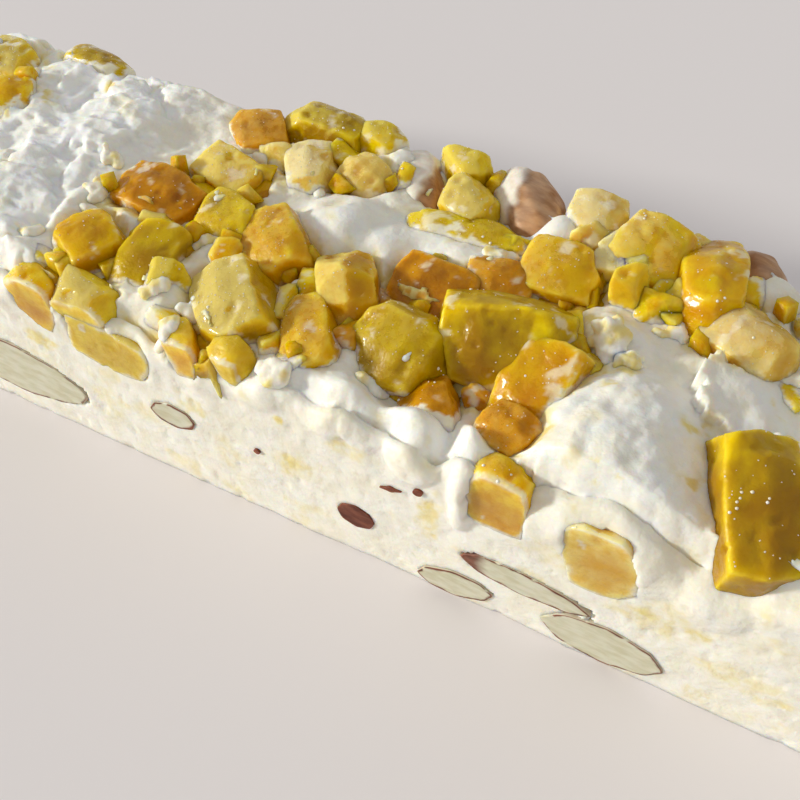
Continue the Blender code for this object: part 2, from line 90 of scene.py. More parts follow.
# %% Camera
CAMERA_PLACE = Vector((47.4, -73.5, 101.0)) * MM
CAMERA_HEADING = math.radians(-27.9)      # turn about Z away from looking along +Y
CAMERA_DIP = math.radians(49.7)           # angle below the horizon

lens = bpy.data.cameras.new("camera")
lens.lens = 50.0
lens.sensor_width = 36.0
lens.clip_start = 5 * MM
camera = bpy.data.objects.new("camera", lens)
bpy.context.scene.collection.objects.link(camera)
camera.location = CAMERA_PLACE
ahead = Vector((
    math.sin(CAMERA_HEADING) * math.cos(CAMERA_DIP),
    math.cos(CAMERA_HEADING) * math.cos(CAMERA_DIP),
    -math.sin(CAMERA_DIP)))
camera.rotation_euler = ahead.to_track_quat("-Z", "Y").to_euler()
bpy.context.scene.camera = camera
print("camera looks along", [round(value, 2) for value in ahead])

# %% [markdown]
# ## Small helpers
#
# Colours are written the way a colour picker shows them, from 0 to 255, and turned into the
# linear values that the renderer works with. Points are handled as arrays, a whole surface at a
# time, and the roughness of food comes from a few noises at different sizes.

# %% Colours and point arrays
def colour(red, green, blue):
    """Linear RGBA from values as a colour picker shows them."""
    return tuple(((value / 255) ** 2.2) for value in (red, green, blue)) + (1.0,)


def points_of(mesh):
    """All vertex positions of a mesh as an array."""
    flat = np.empty(len(mesh.vertices) * 3, np.float32)
    mesh.vertices.foreach_get("co", flat)
    return flat.reshape(-1, 3).astype(float)


def set_points(mesh, points):
    """Write an array of positions back to a mesh."""
    mesh.vertices.foreach_set("co", np.ascontiguousarray(points, np.float32).ravel())
    mesh.update()


def normals_of(mesh):
    """All vertex normals of a mesh as an array."""
    flat = np.empty(len(mesh.vertices) * 3, np.float32)
    mesh.vertex_normals.foreach_get("vector", flat)
    return flat.reshape(-1, 3).astype(float)


def uneven(points, size, octaves=3, basis="PERLIN_ORIGINAL"):
    """Fractal noise at many points, with bumps of about the given size."""
    return np.array([
        noise.fractal(spot, 1.0, 2.0, octaves, noise_basis=basis)
        for spot in (points / size).tolist()])


def ease(value, start, end):
    """0 below start, 1 above end, smooth between; works on arrays."""
    share = np.clip((value - start) / (end - start), 0.0, 1.0)
    return share * share * (3.0 - 2.0 * share)


def soften(grid, passes):
    """Blur a grid of heights a little, again and again."""
    for _ in range(passes):
        for axis in (0, 1):
            near = np.take(grid, [0] + list(range(grid.shape[axis] - 1)), axis)
            far = np.take(grid, list(range(1, grid.shape[axis])) + [-1], axis)
            grid = 0.25 * near + 0.5 * grid + 0.25 * far
    return grid


def paint(mesh, name, values):
    """Store one number for each vertex, for a material to read."""
    layer = mesh.attributes.new(name, "FLOAT", "POINT")
    layer.data.foreach_set("value", np.ascontiguousarray(values, np.float32))


def paint_colour(mesh, name, values):
    """Store one colour for each vertex."""
    layer = mesh.attributes.new(name, "FLOAT_COLOR", "POINT")
    full = np.ones((len(values), 4), np.float32)
    full[:, :3] = values
    layer.data.foreach_set("color", full.ravel())


def new_object(name, mesh):
    """An object at the origin, shaded smooth."""
    made = bpy.data.objects.new(name, mesh)
    bpy.context.scene.collection.objects.link(made)
    mesh.polygons.foreach_set("use_smooth", [True] * len(mesh.polygons))
    return made


# %% Materials from a few lines
class Recipe:
    """A Principled material and short calls to wire noises into it."""

    def __init__(self, name):
        self.material = bpy.data.materials.new(name)
        self.material.use_nodes = True
        self.tree = self.material.node_tree
        self.shader = self.tree.nodes["Principled BSDF"]
        self.place = self.add("ShaderNodeTexCoord").outputs["Object"]

    def add(self, kind, **settings):
        """A node with its properties or, for names with a socket, its values set."""
        node = self.tree.nodes.new(kind)
        for key, value in settings.items():
            if hasattr(node, key):
                setattr(node, key, value)
            else:
                node.inputs[key.replace("_", " ")].default_value = value
        return node

    def link(self, source, target):
        self.tree.links.new(source, target)

    def constants(self, **values):
        """Numbers and colours that are the same all over the surface."""
        for key, value in values.items():
            self.shader.inputs[key.replace("_", " ")].default_value = value

    def grain(self, size, detail=3.0, stretch=(1, 1, 1), rough=0.55):
        """Noise with features of a real size in metres."""
        scaled = self.add("ShaderNodeMapping")
        self.link(self.place, scaled.inputs["Vector"])
        scaled.inputs["Scale"].default_value = [value / size for value in stretch]
        node = self.add("ShaderNodeTexNoise", Scale=1.0, Detail=detail, Roughness=rough)
        self.link(scaled.outputs["Vector"], node.inputs["Vector"])
        return node.outputs["Fac"]

    def between(self, source, start, end, first=0.0, last=1.0):
        """Turn a range of one value into a range of another."""
        node = self.add("ShaderNodeMapRange", interpolation_type="SMOOTHSTEP")
        for key, value in zip(("From Min", "From Max", "To Min", "To Max"), (start, end, first, last)):
            node.inputs[key].default_value = value
        self.link(source, node.inputs["Value"])
        return node.outputs["Result"]

    def math(self, operation, first, second):
        """One sum on two values, each a socket or a number."""
        node = self.add("ShaderNodeMath", operation=operation)
        for socket, value in zip(node.inputs, (first, second)):
            if isinstance(value, (int, float)):
                socket.default_value = value
            else:
                self.link(value, socket)
        return node.outputs[0]

    def mix(self, share, first, second, blend="MIX"):
        """Mix two colours, each a socket or a colour."""
        node = self.add("ShaderNodeMix", data_type="RGBA", blend_type=blend)
        for socket, value in zip((node.inputs[0], node.inputs[6], node.inputs[7]), (share, first, second)):
            if isinstance(value, (int, float, tuple)):
                socket.default_value = value
            else:
                self.link(value, socket)
        return node.outputs[2]

    def attribute(self, name, output="Fac"):
        """A value or colour painted on the mesh."""
        return self.add("ShaderNodeAttribute", attribute_name=name).outputs[output]

    def bump(self, height, distance, strength=1.0, under=None):
        """A bump of a real height in metres, over another if one is given."""
        node = self.add("ShaderNodeBump", Strength=strength, Distance=distance)
        self.link(height, node.inputs["Height"])
        if under is not None:
            self.link(under, node.inputs["Normal"])
        return node.outputs["Normal"]

    def finish(self, base=None, roughness=None, normal=None):
        """Wire the results into the shader."""
        for key, value in (("Base Color", base), ("Roughness", roughness), ("Normal", normal)):
            if value is not None:
                self.link(value, self.shader.inputs[key])
        return self.material


# %% [markdown]
# ## Where the paste ends and the fruit begins
#
# A height map of the top says two things for every spot: how high the first thing under a
# falling needle is, and whether it is paste or a piece. The needle is a ray cast down onto all
# solids at once. The thin joints between the solids are closed by taking the higher neighbour,
# and the paste is carried on under the pieces so that it has a surface everywhere.

# %% One searchable surface of all solids
def gather(names):
    """A search tree over some solids, and for each of its faces the number of its solid."""
    points, faces, owner = [], [], []
    for number, name in enumerate(names):
        mesh = frame["nodes"][name].data
        start = sum(len(chunk) for chunk in points)
        points.append(points_of(mesh))
        for face in mesh.polygons:
            faces.append([start + corner for corner in face.vertices])
            owner.append(number)
    tree = BVHTree.FromPolygons(np.concatenate(points).tolist(), faces)
    return tree, np.array(owner)


names = ["nougat"] + sorted(name for name in frame["nodes"] if name != "nougat")
solids, owner = gather(names)
FAR = 60 * MM


def needle(start, way):
    """How far a ray from a spot runs before it meets a solid, and which solid that is."""
    _, _, face, distance = solids.ray_cast(start, way)
    if face is None:
        return FAR, -1
    return distance, int(owner[face])


# %% Height map of the top
STEP = 0.31 * MM
ALONG = int(LENGTH / STEP)
ACROSS = 122
xs = np.linspace(low.x, high.x, ALONG + 1)
ys = np.linspace(low.y, high.y, ACROSS + 1)
CEILING = 40 * MM
INSIDE = 0.01 * MM                        # rays start this far inside the outline


def falling(x, y):
    """Height of the first solid under a spot, and its number."""
    x = min(max(x, low.x + INSIDE), high.x - INSIDE)
    y = min(max(y, low.y + INSIDE), high.y - INSIDE)
    distance, number = needle((x, y, CEILING), (0, 0, -1))
    return CEILING - distance, number


hits = [[falling(x, y) for y in ys] for x in xs]
seen = np.array([[hit[0] for hit in row] for row in hits])
kind = np.array([[hit[1] for hit in row] for row in hits])
print("height map", seen.shape, "highest", round(seen.max() / MM, 1), "mm")


# %% Close the joints and carry the paste on under the pieces
def shifted(grid, dx, dy):
    """The grid moved by whole cells, its edge repeated."""
    rows = np.clip(np.arange(grid.shape[0]) + dx, 0, grid.shape[0] - 1)
    columns = np.clip(np.arange(grid.shape[1]) + dy, 0, grid.shape[1] - 1)
    return grid[np.ix_(rows, columns)]


NEIGHBOURS = [(1, 0), (-1, 0), (0, 1), (0, -1)]


def grown(mask, cells):
    """A mask made wider by some cells."""
    for _ in range(cells):
        mask = mask | np.any([shifted(mask, *way) for way in NEIGHBOURS], axis=0)
    return mask


def steps_inside(mask, most):
    """For each cell of a mask, how many cells it lies in from the edge."""
    depth = np.zeros(mask.shape)
    left = mask.copy()
    for _ in range(most):
        depth += left
        left = ~grown(~left, 1)
    return depth


def carried_on(height, unknown, passes=500):
    """Fill unknown cells smoothly from the known ones round them."""
    filled = np.where(unknown, height[~unknown].mean(), height)
    for _ in range(passes):
        around = sum(shifted(filled, *way) for way in NEIGHBOURS) / 4
        filled = np.where(unknown, around, filled)
    return filled


piece = kind > 0
JOINT_DROP = 1.5 * MM
shelf = np.max([shifted(seen, dx, dy) for dx in (-2, 0, 2) for dy in (-2, 0, 2)], axis=0)
joint = (kind == 0) & (shelf - seen > JOINT_DROP) & grown(piece, 2)
missed = seen < 0.5 * high.z              # a needle at a worn edge falls past it
covered = piece | joint
paste = carried_on(seen, grown(covered, 1) | missed)
paste = soften(paste, 5)
print("paste shows over", round(100 * (1 - covered.mean())), "% of the top")

# %% [markdown]
# ## Relief of the top
#
# Fresh paste slumps into smooth lumps. Dry paste tears into plates with sharp edges, one above
# the other, with thin strands between them. The lumps come from the solid. The plates are made by
# letting a slow noise climb in steps instead of evenly, so that each step leaves a broken edge.
# Where the paste meets fruit it clings: it climbs a little up the side, and here and there it
# creeps over the edge as a thin film with a round lip.

# %% Where the paste is torn, fresh, or crowded with fruit
spots = np.array([[(x, y, 0.0) for y in ys] for x in xs])
flat_spots = spots.reshape(-1, 3)
across_x, across_y = spots[..., 0], spots[..., 1]


def around(places, inner=0.6, outer=1.2):
    """1 near the given places (middle and reach in mm), falling to 0 outside their reach."""
    share = np.zeros(paste.shape)
    for x, y, reach in places:
        away = np.hypot(across_x - x * MM, across_y - y * MM)
        share = np.maximum(share, 1.0 - ease(away, inner * reach * MM, outer * reach * MM))
    return share


SMOOTH_LUMPS = (
    (37, -11, 10), (-1, 3.5, 6), (8, 4.5, 6), (21, -17, 6), (46, -2, 5), (-3, 14, 4), (20.5, 12, 4),
    (5, -18, 4), (12, -18, 4))
CROWDED = (
    (-19, -7, 8), (-14, 1, 7), (-4, -6, 8), (3, -9, 7), (10, -2, 6), (16, -6, 8), (24, -4, 8),
    (27, 8, 7), (34, 13, 6), (42, 7, 6), (-10, 13, 6), (-3, 12, 5), (10, 14, 5), (27, -13, 4),
    (-6, -16, 5), (-21, -17, 5), (-50, 6, 5))
fresh = around(SMOOTH_LUMPS)
torn = 1.0 - ease(across_x, -31 * MM, -23 * MM)
torn = np.maximum(torn, 0.6 * ease(across_x, 52 * MM, 58 * MM))
away = steps_inside(~piece, 12) * STEP    # how far a spot is from the next piece
crowd = around(CROWDED) * (1.0 - 0.8 * around(SMOOTH_LUMPS, 0.3, 0.8))
between = crowd * (1.0 - ease(away, 0.8 * MM, 2.6 * MM))
print("crowded with fruit:", round(100 * crowd.mean()), "% of the top")

# %% Tears, strands and fine crumb


def field(size, octaves=3, shift=0.0, stretch=(1.0, 1.0)):
    """Noise over the top, its pattern moved by a shift and drawn out by a stretch."""
    moved = (flat_spots + (shift, 0.3 * shift, shift)) * (*stretch, 1.0)
    return uneven(moved, size, octaves).reshape(paste.shape)


def steps(values, count, sharp=0.7):
    """Let values climb in steps with sharp edges."""
    climb = values * count
    whole = np.floor(climb)
    return (whole + ease(climb - whole, sharp, 1.0)) / count


def beads(size, shift):
    """Round grains packed side by side, 1 on their tops and 0 between them."""
    nearest = [noise.voronoi(spot)[0][0] for spot in ((flat_spots + shift) / size).tolist()]
    return np.clip(1.0 - (np.array(nearest) / 0.75) ** 2, 0.0, 1.0).reshape(paste.shape)


ragged = field(2.4 * MM, 3, 0.11)


def sheet(x, y, half_x, half_y, turn, edge=0.45):
    """1 on a thin torn sheet and 0 beside it, with a ragged steep edge; sizes in mm."""
    dx, dy = across_x / MM - x, across_y / MM - y
    along = (dx * math.cos(turn) + dy * math.sin(turn)) / half_x
    aside = (dy * math.cos(turn) - dx * math.sin(turn)) / half_y
    return 1.0 - ease(np.hypot(along, aside) + 0.35 * ragged, 1.0 - edge / min(half_x, half_y), 1.0)


draw = random.Random(11)
plates = np.zeros(paste.shape)
for number in range(70):
    x = draw.uniform(-54, -23) if number < 46 else draw.uniform(52, 75)
    over = sheet(x, draw.uniform(-15, 19), draw.uniform(2.0, 5.5), draw.uniform(1.2, 3.2),
                 draw.gauss(0.6, 0.7), draw.uniform(0.3, 0.6))
    plates = plates * (1.0 - 0.7 * over) + draw.uniform(0.35, 1.0) * over
flap = sheet(46.5, -1.5, 7.2, 5.2, math.radians(-30))
strands = (1.0 - np.abs(field(2.8 * MM, 3, 0.27, (0.6, 1.2)))) ** 4
slump = field(4.5 * MM, 2, 0.43)
crumb = field(1.0 * MM, 3, 0.61)
grains = beads(1.9 * MM, 0.2)
plain_share = (1.0 - torn) * (1.0 - fresh)
relief = 0.30 * slump * (1.0 - 0.3 * fresh)
relief += torn * (1.0 * plates + 0.35 * (strands - 0.4) + 0.04 * np.clip(across_x / MM + 44.0, -40, 20))
streaks = field(2.0 * MM, 3, 0.75, (1.0, 0.45))
lies_at = np.maximum(25.6 - 0.4 * (across_x / MM - 41.0), 22.2) + 0.15 * streaks
relief += flap * (lies_at - paste / MM - relief)
past_ridge = np.clip(across_x / MM - 28.0, 0.0, 16.0)
relief += around(((36, -10, 12),)) * (0.3 - 0.05 * past_ridge - 0.0035 * past_ridge ** 2 + 0.22 * streaks)
relief += plain_share * (0.35 * steps(field(4.0 * MM, 3, 0.9), 3, 0.75) + 0.15 * strands)
relief += (0.10 - 0.07 * fresh) * crumb
relief += around(((38, -9, 12),)) * (0.16 * field(1.4 * MM, 3, 1.9) + 0.12 * beads(2.2 * MM, 0.5))
relief += 0.3 * between * grains - 1.2 * between
print("relief of the paste", round(relief.min(), 2), "to", round(relief.max(), 2), "mm")

# %% How much fuller each piece is made
# Pieces lie piece on piece, so they are made a little fuller than their solids to close the joints.
SWELL = 0.7 * MM
FULLER = {
    "orange_02": 1.3, "orange_03": 1.2, "orange_07": 1.2, "peel_03": 1.0, "peel_04": 1.0, "orange_05": 0.9,
    "orange_06": 1.0, "orange_11": 1.0, "lemon_05": 0.8, "citron_07": 1.0, "citron_08": 0.8, "orange_08": 0.9,
    "amber_02": 1.0, "citron_05": 0.9, "orange_09": 0.9, "amber_03": 1.0, "amber_04": 1.0,
    "citron_02": 0.9, "citron_03": 0.9, "peel_01": 0.9, "peel_02": 0.9, "citron_04": 0.7, "lemon_02": 0.7,
    "lemon_06": 0.3, "orange_12": 0.3, "lemon_07": 0.2, "peel_05": 0.3,
    "orange_13": 0.3, "citron_09": 0.6, "lemon_04": 0.5, "orange_10": 0.4,
}


def swell_of(name):
    """How much fuller a piece is made, in metres."""
    return FULLER.get(name, SWELL / MM) * MM


swell_map = np.array([swell_of(name) for name in names])[np.clip(kind, 0, None)]
print("pieces are made", round(swell_map[piece].mean() / MM, 2), "mm fuller on average")

# %% Clinging to the fruit and creeping over its edges
FILM = 0.30 * MM                          # thickness of a film of paste on a piece
SUNK = 0.9 * MM                           # how far the paste lies below what covers it
LOW_EDGE = 1.7 * MM                       # paste creeps only over edges lower than this

cling = np.exp(-away / (0.9 * MM)) * (0.35 + 0.9 * field(3.0 * MM, 2, 1.3)) * (1.0 - 0.7 * between)
bare = paste + (relief + 0.6 * cling * (away > 0)) * MM
inside = steps_inside(piece, 10) * STEP
creep = (0.2 + 2.6 * field(2.8 * MM, 2, 1.7)) * MM
lip = np.sqrt(np.clip(1.0 - inside / np.maximum(creep, INSIDE), 0.0, 1.0))
on_piece = piece & (inside < creep) & (seen - paste < LOW_EDGE)
fall = np.hypot(*np.gradient(seen, STEP))
on_piece &= ~grown(fall > 1.1, 1)
ground = ~piece | on_piece
on_piece &= grown(~grown(~ground, 2), 2)
lifted = np.where(on_piece, seen + swell_map + FILM * lip, bare)
shore = grown(on_piece, 3) & ~piece
for _ in range(5):
    middle = sum(shifted(lifted, *way) for way in NEIGHBOURS) / 4
    lifted = np.where(shore, 0.4 * lifted + 0.6 * middle, lifted)
height = np.where(piece & ~on_piece, np.minimum(lifted, seen - SUNK), lifted)
wall = grown(piece, 2) & grown(~piece, 2) & ~grown(on_piece, 1)
for _ in range(3):
    middle = sum(shifted(height, *way) for way in NEIGHBOURS) / 4
    height = np.where(wall, 0.4 * height + 0.6 * middle, height)
print("film on the fruit over", round(100 * on_piece.mean(), 1), "% of the top")

# %% [markdown]
# ## The skin of the paste
#
# One closed sheet wraps the whole bar: ring after ring of points up the near side, over the top,
# down the far side and back along the base, from one cut end to the other. It is a loft with
# equal rings, so it is all quads and one seam closes it. The sides were cut with a wet knife:
# they are almost flat, with faint ledges that run along the bar. Where an almond or a piece of
# fruit is cut flush with a side, the sheet dips behind it.

# %% The two sides and the base as height maps
NEAR_ROWS, FAR_ROWS, BASE_ROWS = 46, 22, 4
EDGE_CELLS = 9                            # the top meets the worn long edge over this many cells
EDGE_WORN = 0.5 * MM                      # how much lower the worn edge is
EDGE_ROUND = 0.7 * MM                     # how far a long edge is rounded off
EDGE_REACH = 4.0 * MM                     # width of the strip of the top that the rounding moves
slack = ease(xs, 27 * MM, 32 * MM) * (1.0 - ease(xs, 50 * MM, 56 * MM))   # where the dome sags over the edge
worn_by = EDGE_WORN + 1.3 * MM * slack
round_by = EDGE_ROUND + 1.2 * MM * slack
OVERHANG = 0.35 * MM                      # how far the top hangs over a side
SIDE_LUMPS = (                            # lumps on the near side: x, z, half length, half height, out in mm
    (19.6, 20.8, 3.0, 4.0, 1.1), (24.8, 18.6, 1.4, 6.4, 1.1), (10.2, 21.6, 3.2, 3.2, 0.8),
    (14.2, 21.4, 2.2, 3.2, 0.7), (2.6, 20.6, 2.8, 2.6, 0.6), (34.0, 18.4, 3.4, 3.0, 0.5),
    (42.0, 17.6, 3.4, 3.2, 0.5), (48.5, 16.8, 3.4, 3.0, 0.5), (-8.0, 20.8, 3.4, 2.4, 0.5),
    (-17.5, 20.4, 3.6, 2.4, 0.5), (-31.0, 19.8, 4.4, 2.2, 0.4), (-42.0, 19.6, 4.0, 2.2, 0.4))
side_reach = 0.5 * WIDTH


def long_edge(row):
    """Height of a long top edge, without the steps that pieces make in it."""
    return soften(np.repeat(row[:, None], 2, 1), 40)[:, 0]


for column, inner in ((0, 1), (-1, -1)):
    worn = height[:, column + 3 * inner] * 0.5 + paste[:, column + 3 * inner] * 0.5
    edge = soften(np.repeat(worn[:, None], 2, 1), 6)[:, 0] - (worn_by if column == 0 else EDGE_WORN)
    for number in range(EDGE_CELLS):
        share = math.sqrt(number / EDGE_CELLS)
        spot = column + inner * number
        height[:, spot] = (1 - share) * edge + share * height[:, spot]


def side_map(sign, rows):
    """Places of the skin on one long side: x, y, z in rows from the base up."""
    edge = height[:, 0] if sign < 0 else height[:, -1]
    share = np.linspace(0.0, 1.0, rows + 1)
    place = np.empty((len(xs), rows + 1, 3))
    place[..., 0] = xs[:, None]
    even = long_edge(edge)
    place[..., 2] = even[:, None] * share[None, :] + (edge - even)[:, None] * share[None, :] ** 3
    place[..., 1] = sign * side_reach
    shape = place.shape[:2]
    found = [needle((min(max(x, low.x + INSIDE), high.x - INSIDE), sign * CEILING, max(z, INSIDE)),
                    (0, -sign, 0)) for x, _, z in place.reshape(-1, 3)]
    depth = np.array([distance for distance, _ in found]).reshape(shape) - (CEILING - side_reach)
    covers = np.array([number for _, number in found]).reshape(shape) > 0
    blind = covers | (depth > 1.2 * MM)
    inset = soften(carried_on(depth, grown(blind, 1), 200), 3)
    flat = place.reshape(-1, 3)
    ledge = uneven(flat * (0.25, 0.0, 1.0) + 0.2, 2.2 * MM, 3).reshape(shape)
    dent = uneven(flat * (0.7, 0.0, 1.0) + 0.5, 5.0 * MM, 2).reshape(shape)
    pits = ease(uneven(flat + 0.8, 1.5 * MM, 2).reshape(shape), 0.35, 0.6)
    rough = (0.11 * (1.0 - np.abs(ledge)) ** 2 + 0.16 * np.abs(dent) + 0.14 * pits) * MM
    rough *= 1.0 - 0.9 * soften(grown(covers, 3).astype(float), 3)
    foot = 1.0 - ease(place[..., 2], 0.0, 1.6 * MM)
    rough += foot * (0.15 + 0.35 * np.abs(ledge)) * MM
    inset = inset + rough * ease(place[..., 0] - low.x, 0, 2 * MM)
    bulge = uneven(flat * (1.0, 0.0, 0.6) + 0.7, 3.2 * MM, 2).reshape(shape)
    inset = inset - ease(share, 0.55, 0.9) * OVERHANG * (bulge + 0.2)
    for x, z, half_x, half_z, out in SIDE_LUMPS if sign < 0 else ():
        apart = np.hypot((place[..., 0] / MM - x) / half_x, (place[..., 2] / MM - z) / half_z) + 0.15 * bulge
        inset = inset - out * MM * np.sqrt(np.clip(1.0 - apart, 0.0, 1.0))
    behind = ~grown(~covers, 1)               # the sheet stays in place along a piece's rim
    inset = np.where(covers, np.maximum(inset, 0.06 * MM), inset)
    inset = np.where(behind, SUNK, inset)
    turn = (round_by if sign < 0 else np.full(len(xs), EDGE_ROUND))[:, None]
    left = np.clip((even[:, None] * (1.0 - share)) / (2.0 * turn), 0.0, 1.0)
    inset = inset + turn * (1.0 - np.sqrt(1.0 - (1.0 - left) ** 2 + INSIDE))
    place[..., 1] = sign * (side_reach - inset)
    return place, covers


near_side, near_covers = side_map(-1, NEAR_ROWS)
far_side, far_covers = side_map(1, FAR_ROWS)
top = np.dstack([across_x, across_y, height])
wander = np.array([noise.turbulence_vector(spot, 2, False) for spot in (flat_spots / (1.6 * MM)).tolist()])
wander = wander.reshape(top.shape) * (0.11 * MM)
wander[:, :2] = wander[:, -2:] = 0.0
wander[0] = wander[-1] = 0.0
top[..., :2] += wander[..., :2]
for column, side in ((0, near_side), (-1, far_side)):
    rim = side[:, -1, 1][:, None]             # the strip along the edge is drawn in to the rounding
    strip = np.clip(1.0 - np.abs(across_y - ys[column]) / EDGE_REACH, 0.0, 1.0)
    top[..., 1] += strip * (rim - ys[column])
    top[:, column] = side[:, -1]
base = np.empty((len(xs), BASE_ROWS - 1, 3))
for column in range(BASE_ROWS - 1):
    share = (column + 1) / BASE_ROWS
    base[:, column] = (1 - share) * far_side[:, 0] + share * near_side[:, 0]
rings = np.concatenate([near_side, top[:, 1:], far_side[:, -2::-1], base], axis=1)
print("skin rings", rings.shape[0], "of", rings.shape[1], "points")

# %% Close the ends and make the mesh
END_RINGS = 11
ROUND_ABOUT = ((0.0, 0.0), (0.6 * MM, 0.0), (-0.6 * MM, 0.0), (0.0, 0.6 * MM), (0.0, -0.6 * MM))


def behind_a_piece(spot, sign):
    """Whether a spot on an end, and all round it, is covered by a piece."""
    return all(needle((sign * 2 * LENGTH, spot[1] + dy, spot[2] + dz), (-sign, 0, 0))[1] > 0 for dy, dz in ROUND_ABOUT)


def unfolded(ring, middle):
    """A ring whose points run round its middle without ever turning back."""
    gap = ring - middle
    angle = np.unwrap(np.arctan2(gap[:, 2], gap[:, 1]))
    way = np.sign(angle[-1] - angle[0])
    angle = way * np.maximum.accumulate(way * angle)
    reach = np.hypot(gap[:, 1], gap[:, 2])
    upper = ring[1:-1, 2] > 0.2 * high.z      # the base and the corners beside it stay as they are
    for _ in range(4):
        for values in (angle, reach):
            smooth = 0.25 * values[:-2] + 0.5 * values[1:-1] + 0.25 * values[2:]
            values[1:-1] = np.where(upper, smooth, values[1:-1])
    return middle + np.stack([np.zeros(len(ring)), reach * np.cos(angle), reach * np.sin(angle)], axis=1)


def end_rings(ring, sign):
    """Rings that close one end, drawn in to the middle of the cut."""
    middle = np.array([ring[0, 0], 0.0, 0.5 * high.z])
    plain_ring = unfolded(ring, middle)
    made = []
    for number in range(1, END_RINGS + 1):
        keep = 1.0 - number / (END_RINGS + 0.5)
        inner = middle + (plain_ring - middle) * keep
        rough = 0.25 * MM * (1.0 - np.abs(uneven(inner + 0.4, 2.5 * MM, 3)))
        for spot, pit in zip(inner, rough):
            spot[0] = sign * (0.5 * LENGTH - (SUNK if behind_a_piece(spot, sign) else pit))
        made.append(inner)
    return made


start_rings = end_rings(rings[0], -1)[::-1]
last_rings = end_rings(rings[-1], 1)
loft = np.concatenate([start_rings, rings, last_rings])
count, per_ring = loft.shape[:2]
grid = np.arange(count * per_ring).reshape(count, per_ring)
quads = np.stack([grid[:-1], np.roll(grid[:-1], -1, 1), np.roll(grid[1:], -1, 1), grid[1:]], axis=-1)
faces = quads.reshape(-1, 4).tolist()
faces += [grid[0, ::-1].tolist(), grid[-1].tolist()]
skin = bpy.data.meshes.new("nougat_paste")
skin.from_pydata(loft.reshape(-1, 3).tolist(), [], faces)
work = bmesh.new()
work.from_mesh(skin)
bmesh.ops.recalc_face_normals(work, faces=work.faces)
work.to_mesh(skin)
work.free()
print("paste skin", len(skin.vertices), "points")

# %% Paint the stains
# Syrup tints the paste next to the fruit and between crowded pieces, and rubs off in pale yellow
# patches elsewhere. On the near side the knife has dragged a little of it along.
SIDE_STAINS = (                           # x, z, half length, half height in mm, strength
    (6.5, 10.5, 3.0, 2.6, 0.22), (5.0, 18.0, 1.0, 0.9, 0.9), (-25.5, 14.2, 3.4, 2.0, 0.4),
    (21.5, 12.5, 1.6, 5.5, 0.35), (-6.0, 13.5, 3.4, 2.2, 0.3), (12.5, 17.5, 3.0, 2.0, 0.3),
    (45.0, 12.0, 6.0, 4.0, 0.25), (33.0, 15.0, 4.0, 2.5, 0.25), (-12.0, 9.0, 4.0, 2.0, 0.2),
    (54.0, 8.0, 6.0, 3.0, 0.25), (-40.0, 10.0, 7.0, 3.0, 0.2))
TOP_STAINS = ((34, -5, 4), (44, -12, 4), (36.5, -16, 3), (42, -6, 3), (30, 1.5, 4), (-43, 6, 4),
              (-37, 12, 3), (-47, 13, 3), (48, 1, 3))
sheen = ease(field(2.0 * MM, 2, 2.1), -0.35, 0.35)
top_stain = 0.45 * np.exp(-away / (1.0 * MM)) * sheen * (1 - 0.7 * fresh) + 0.5 * between + 0.3 * crowd * sheen
top_stain += 0.45 * around(TOP_STAINS, 0.2, 1.0) * ease(field(1.8 * MM, 3, 2.9), 0.0, 0.45)
cells = np.full(loft.shape[:2], 0.0)
top_start = NEAR_ROWS + 1
body_rings = slice(END_RINGS, END_RINGS + len(xs))
cells[body_rings, top_start:top_start + ACROSS] = top_stain[:, 1:]
side_cells = near_side.reshape(-1, 3)
side_stain = np.zeros(len(side_cells))
torn_edge = 0.6 * uneven(side_cells, 2.0 * MM, 3)
for x, z, half_x, half_z, strength in SIDE_STAINS:
    apart = np.hypot((side_cells[:, 0] - x * MM) / (half_x * MM), (side_cells[:, 2] - z * MM) / (half_z * MM))
    side_stain = np.maximum(side_stain, strength * (1.0 - ease(apart + torn_edge, 0.3, 1.0)))
cells[body_rings, :NEAR_ROWS + 1] = side_stain.reshape(near_side.shape[:2])
skin_points = loft.reshape(-1, 3)
patches = ease(uneven(skin_points + 0.9, 5.0 * MM, 3), 0.18, 0.6)
stain = np.clip(cells.ravel() + 0.22 * patches, 0.0, 1.0)
paint(skin, "stain", stain)
crumbly = np.zeros(loft.shape[:2])
crumbly[body_rings, top_start:top_start + ACROSS] = (between * (~piece))[:, 1:]
paint(skin, "crowd", crumbly.ravel())
chalk = np.zeros(loft.shape[:2])
chalk[body_rings, top_start:top_start + ACROSS] = np.maximum(torn, 0.6 * fresh)[:, 1:]
paint(skin, "chalk", chalk.ravel())
print("stained by syrup:", round(100 * (stain > 0.3).mean()), "% of the skin")
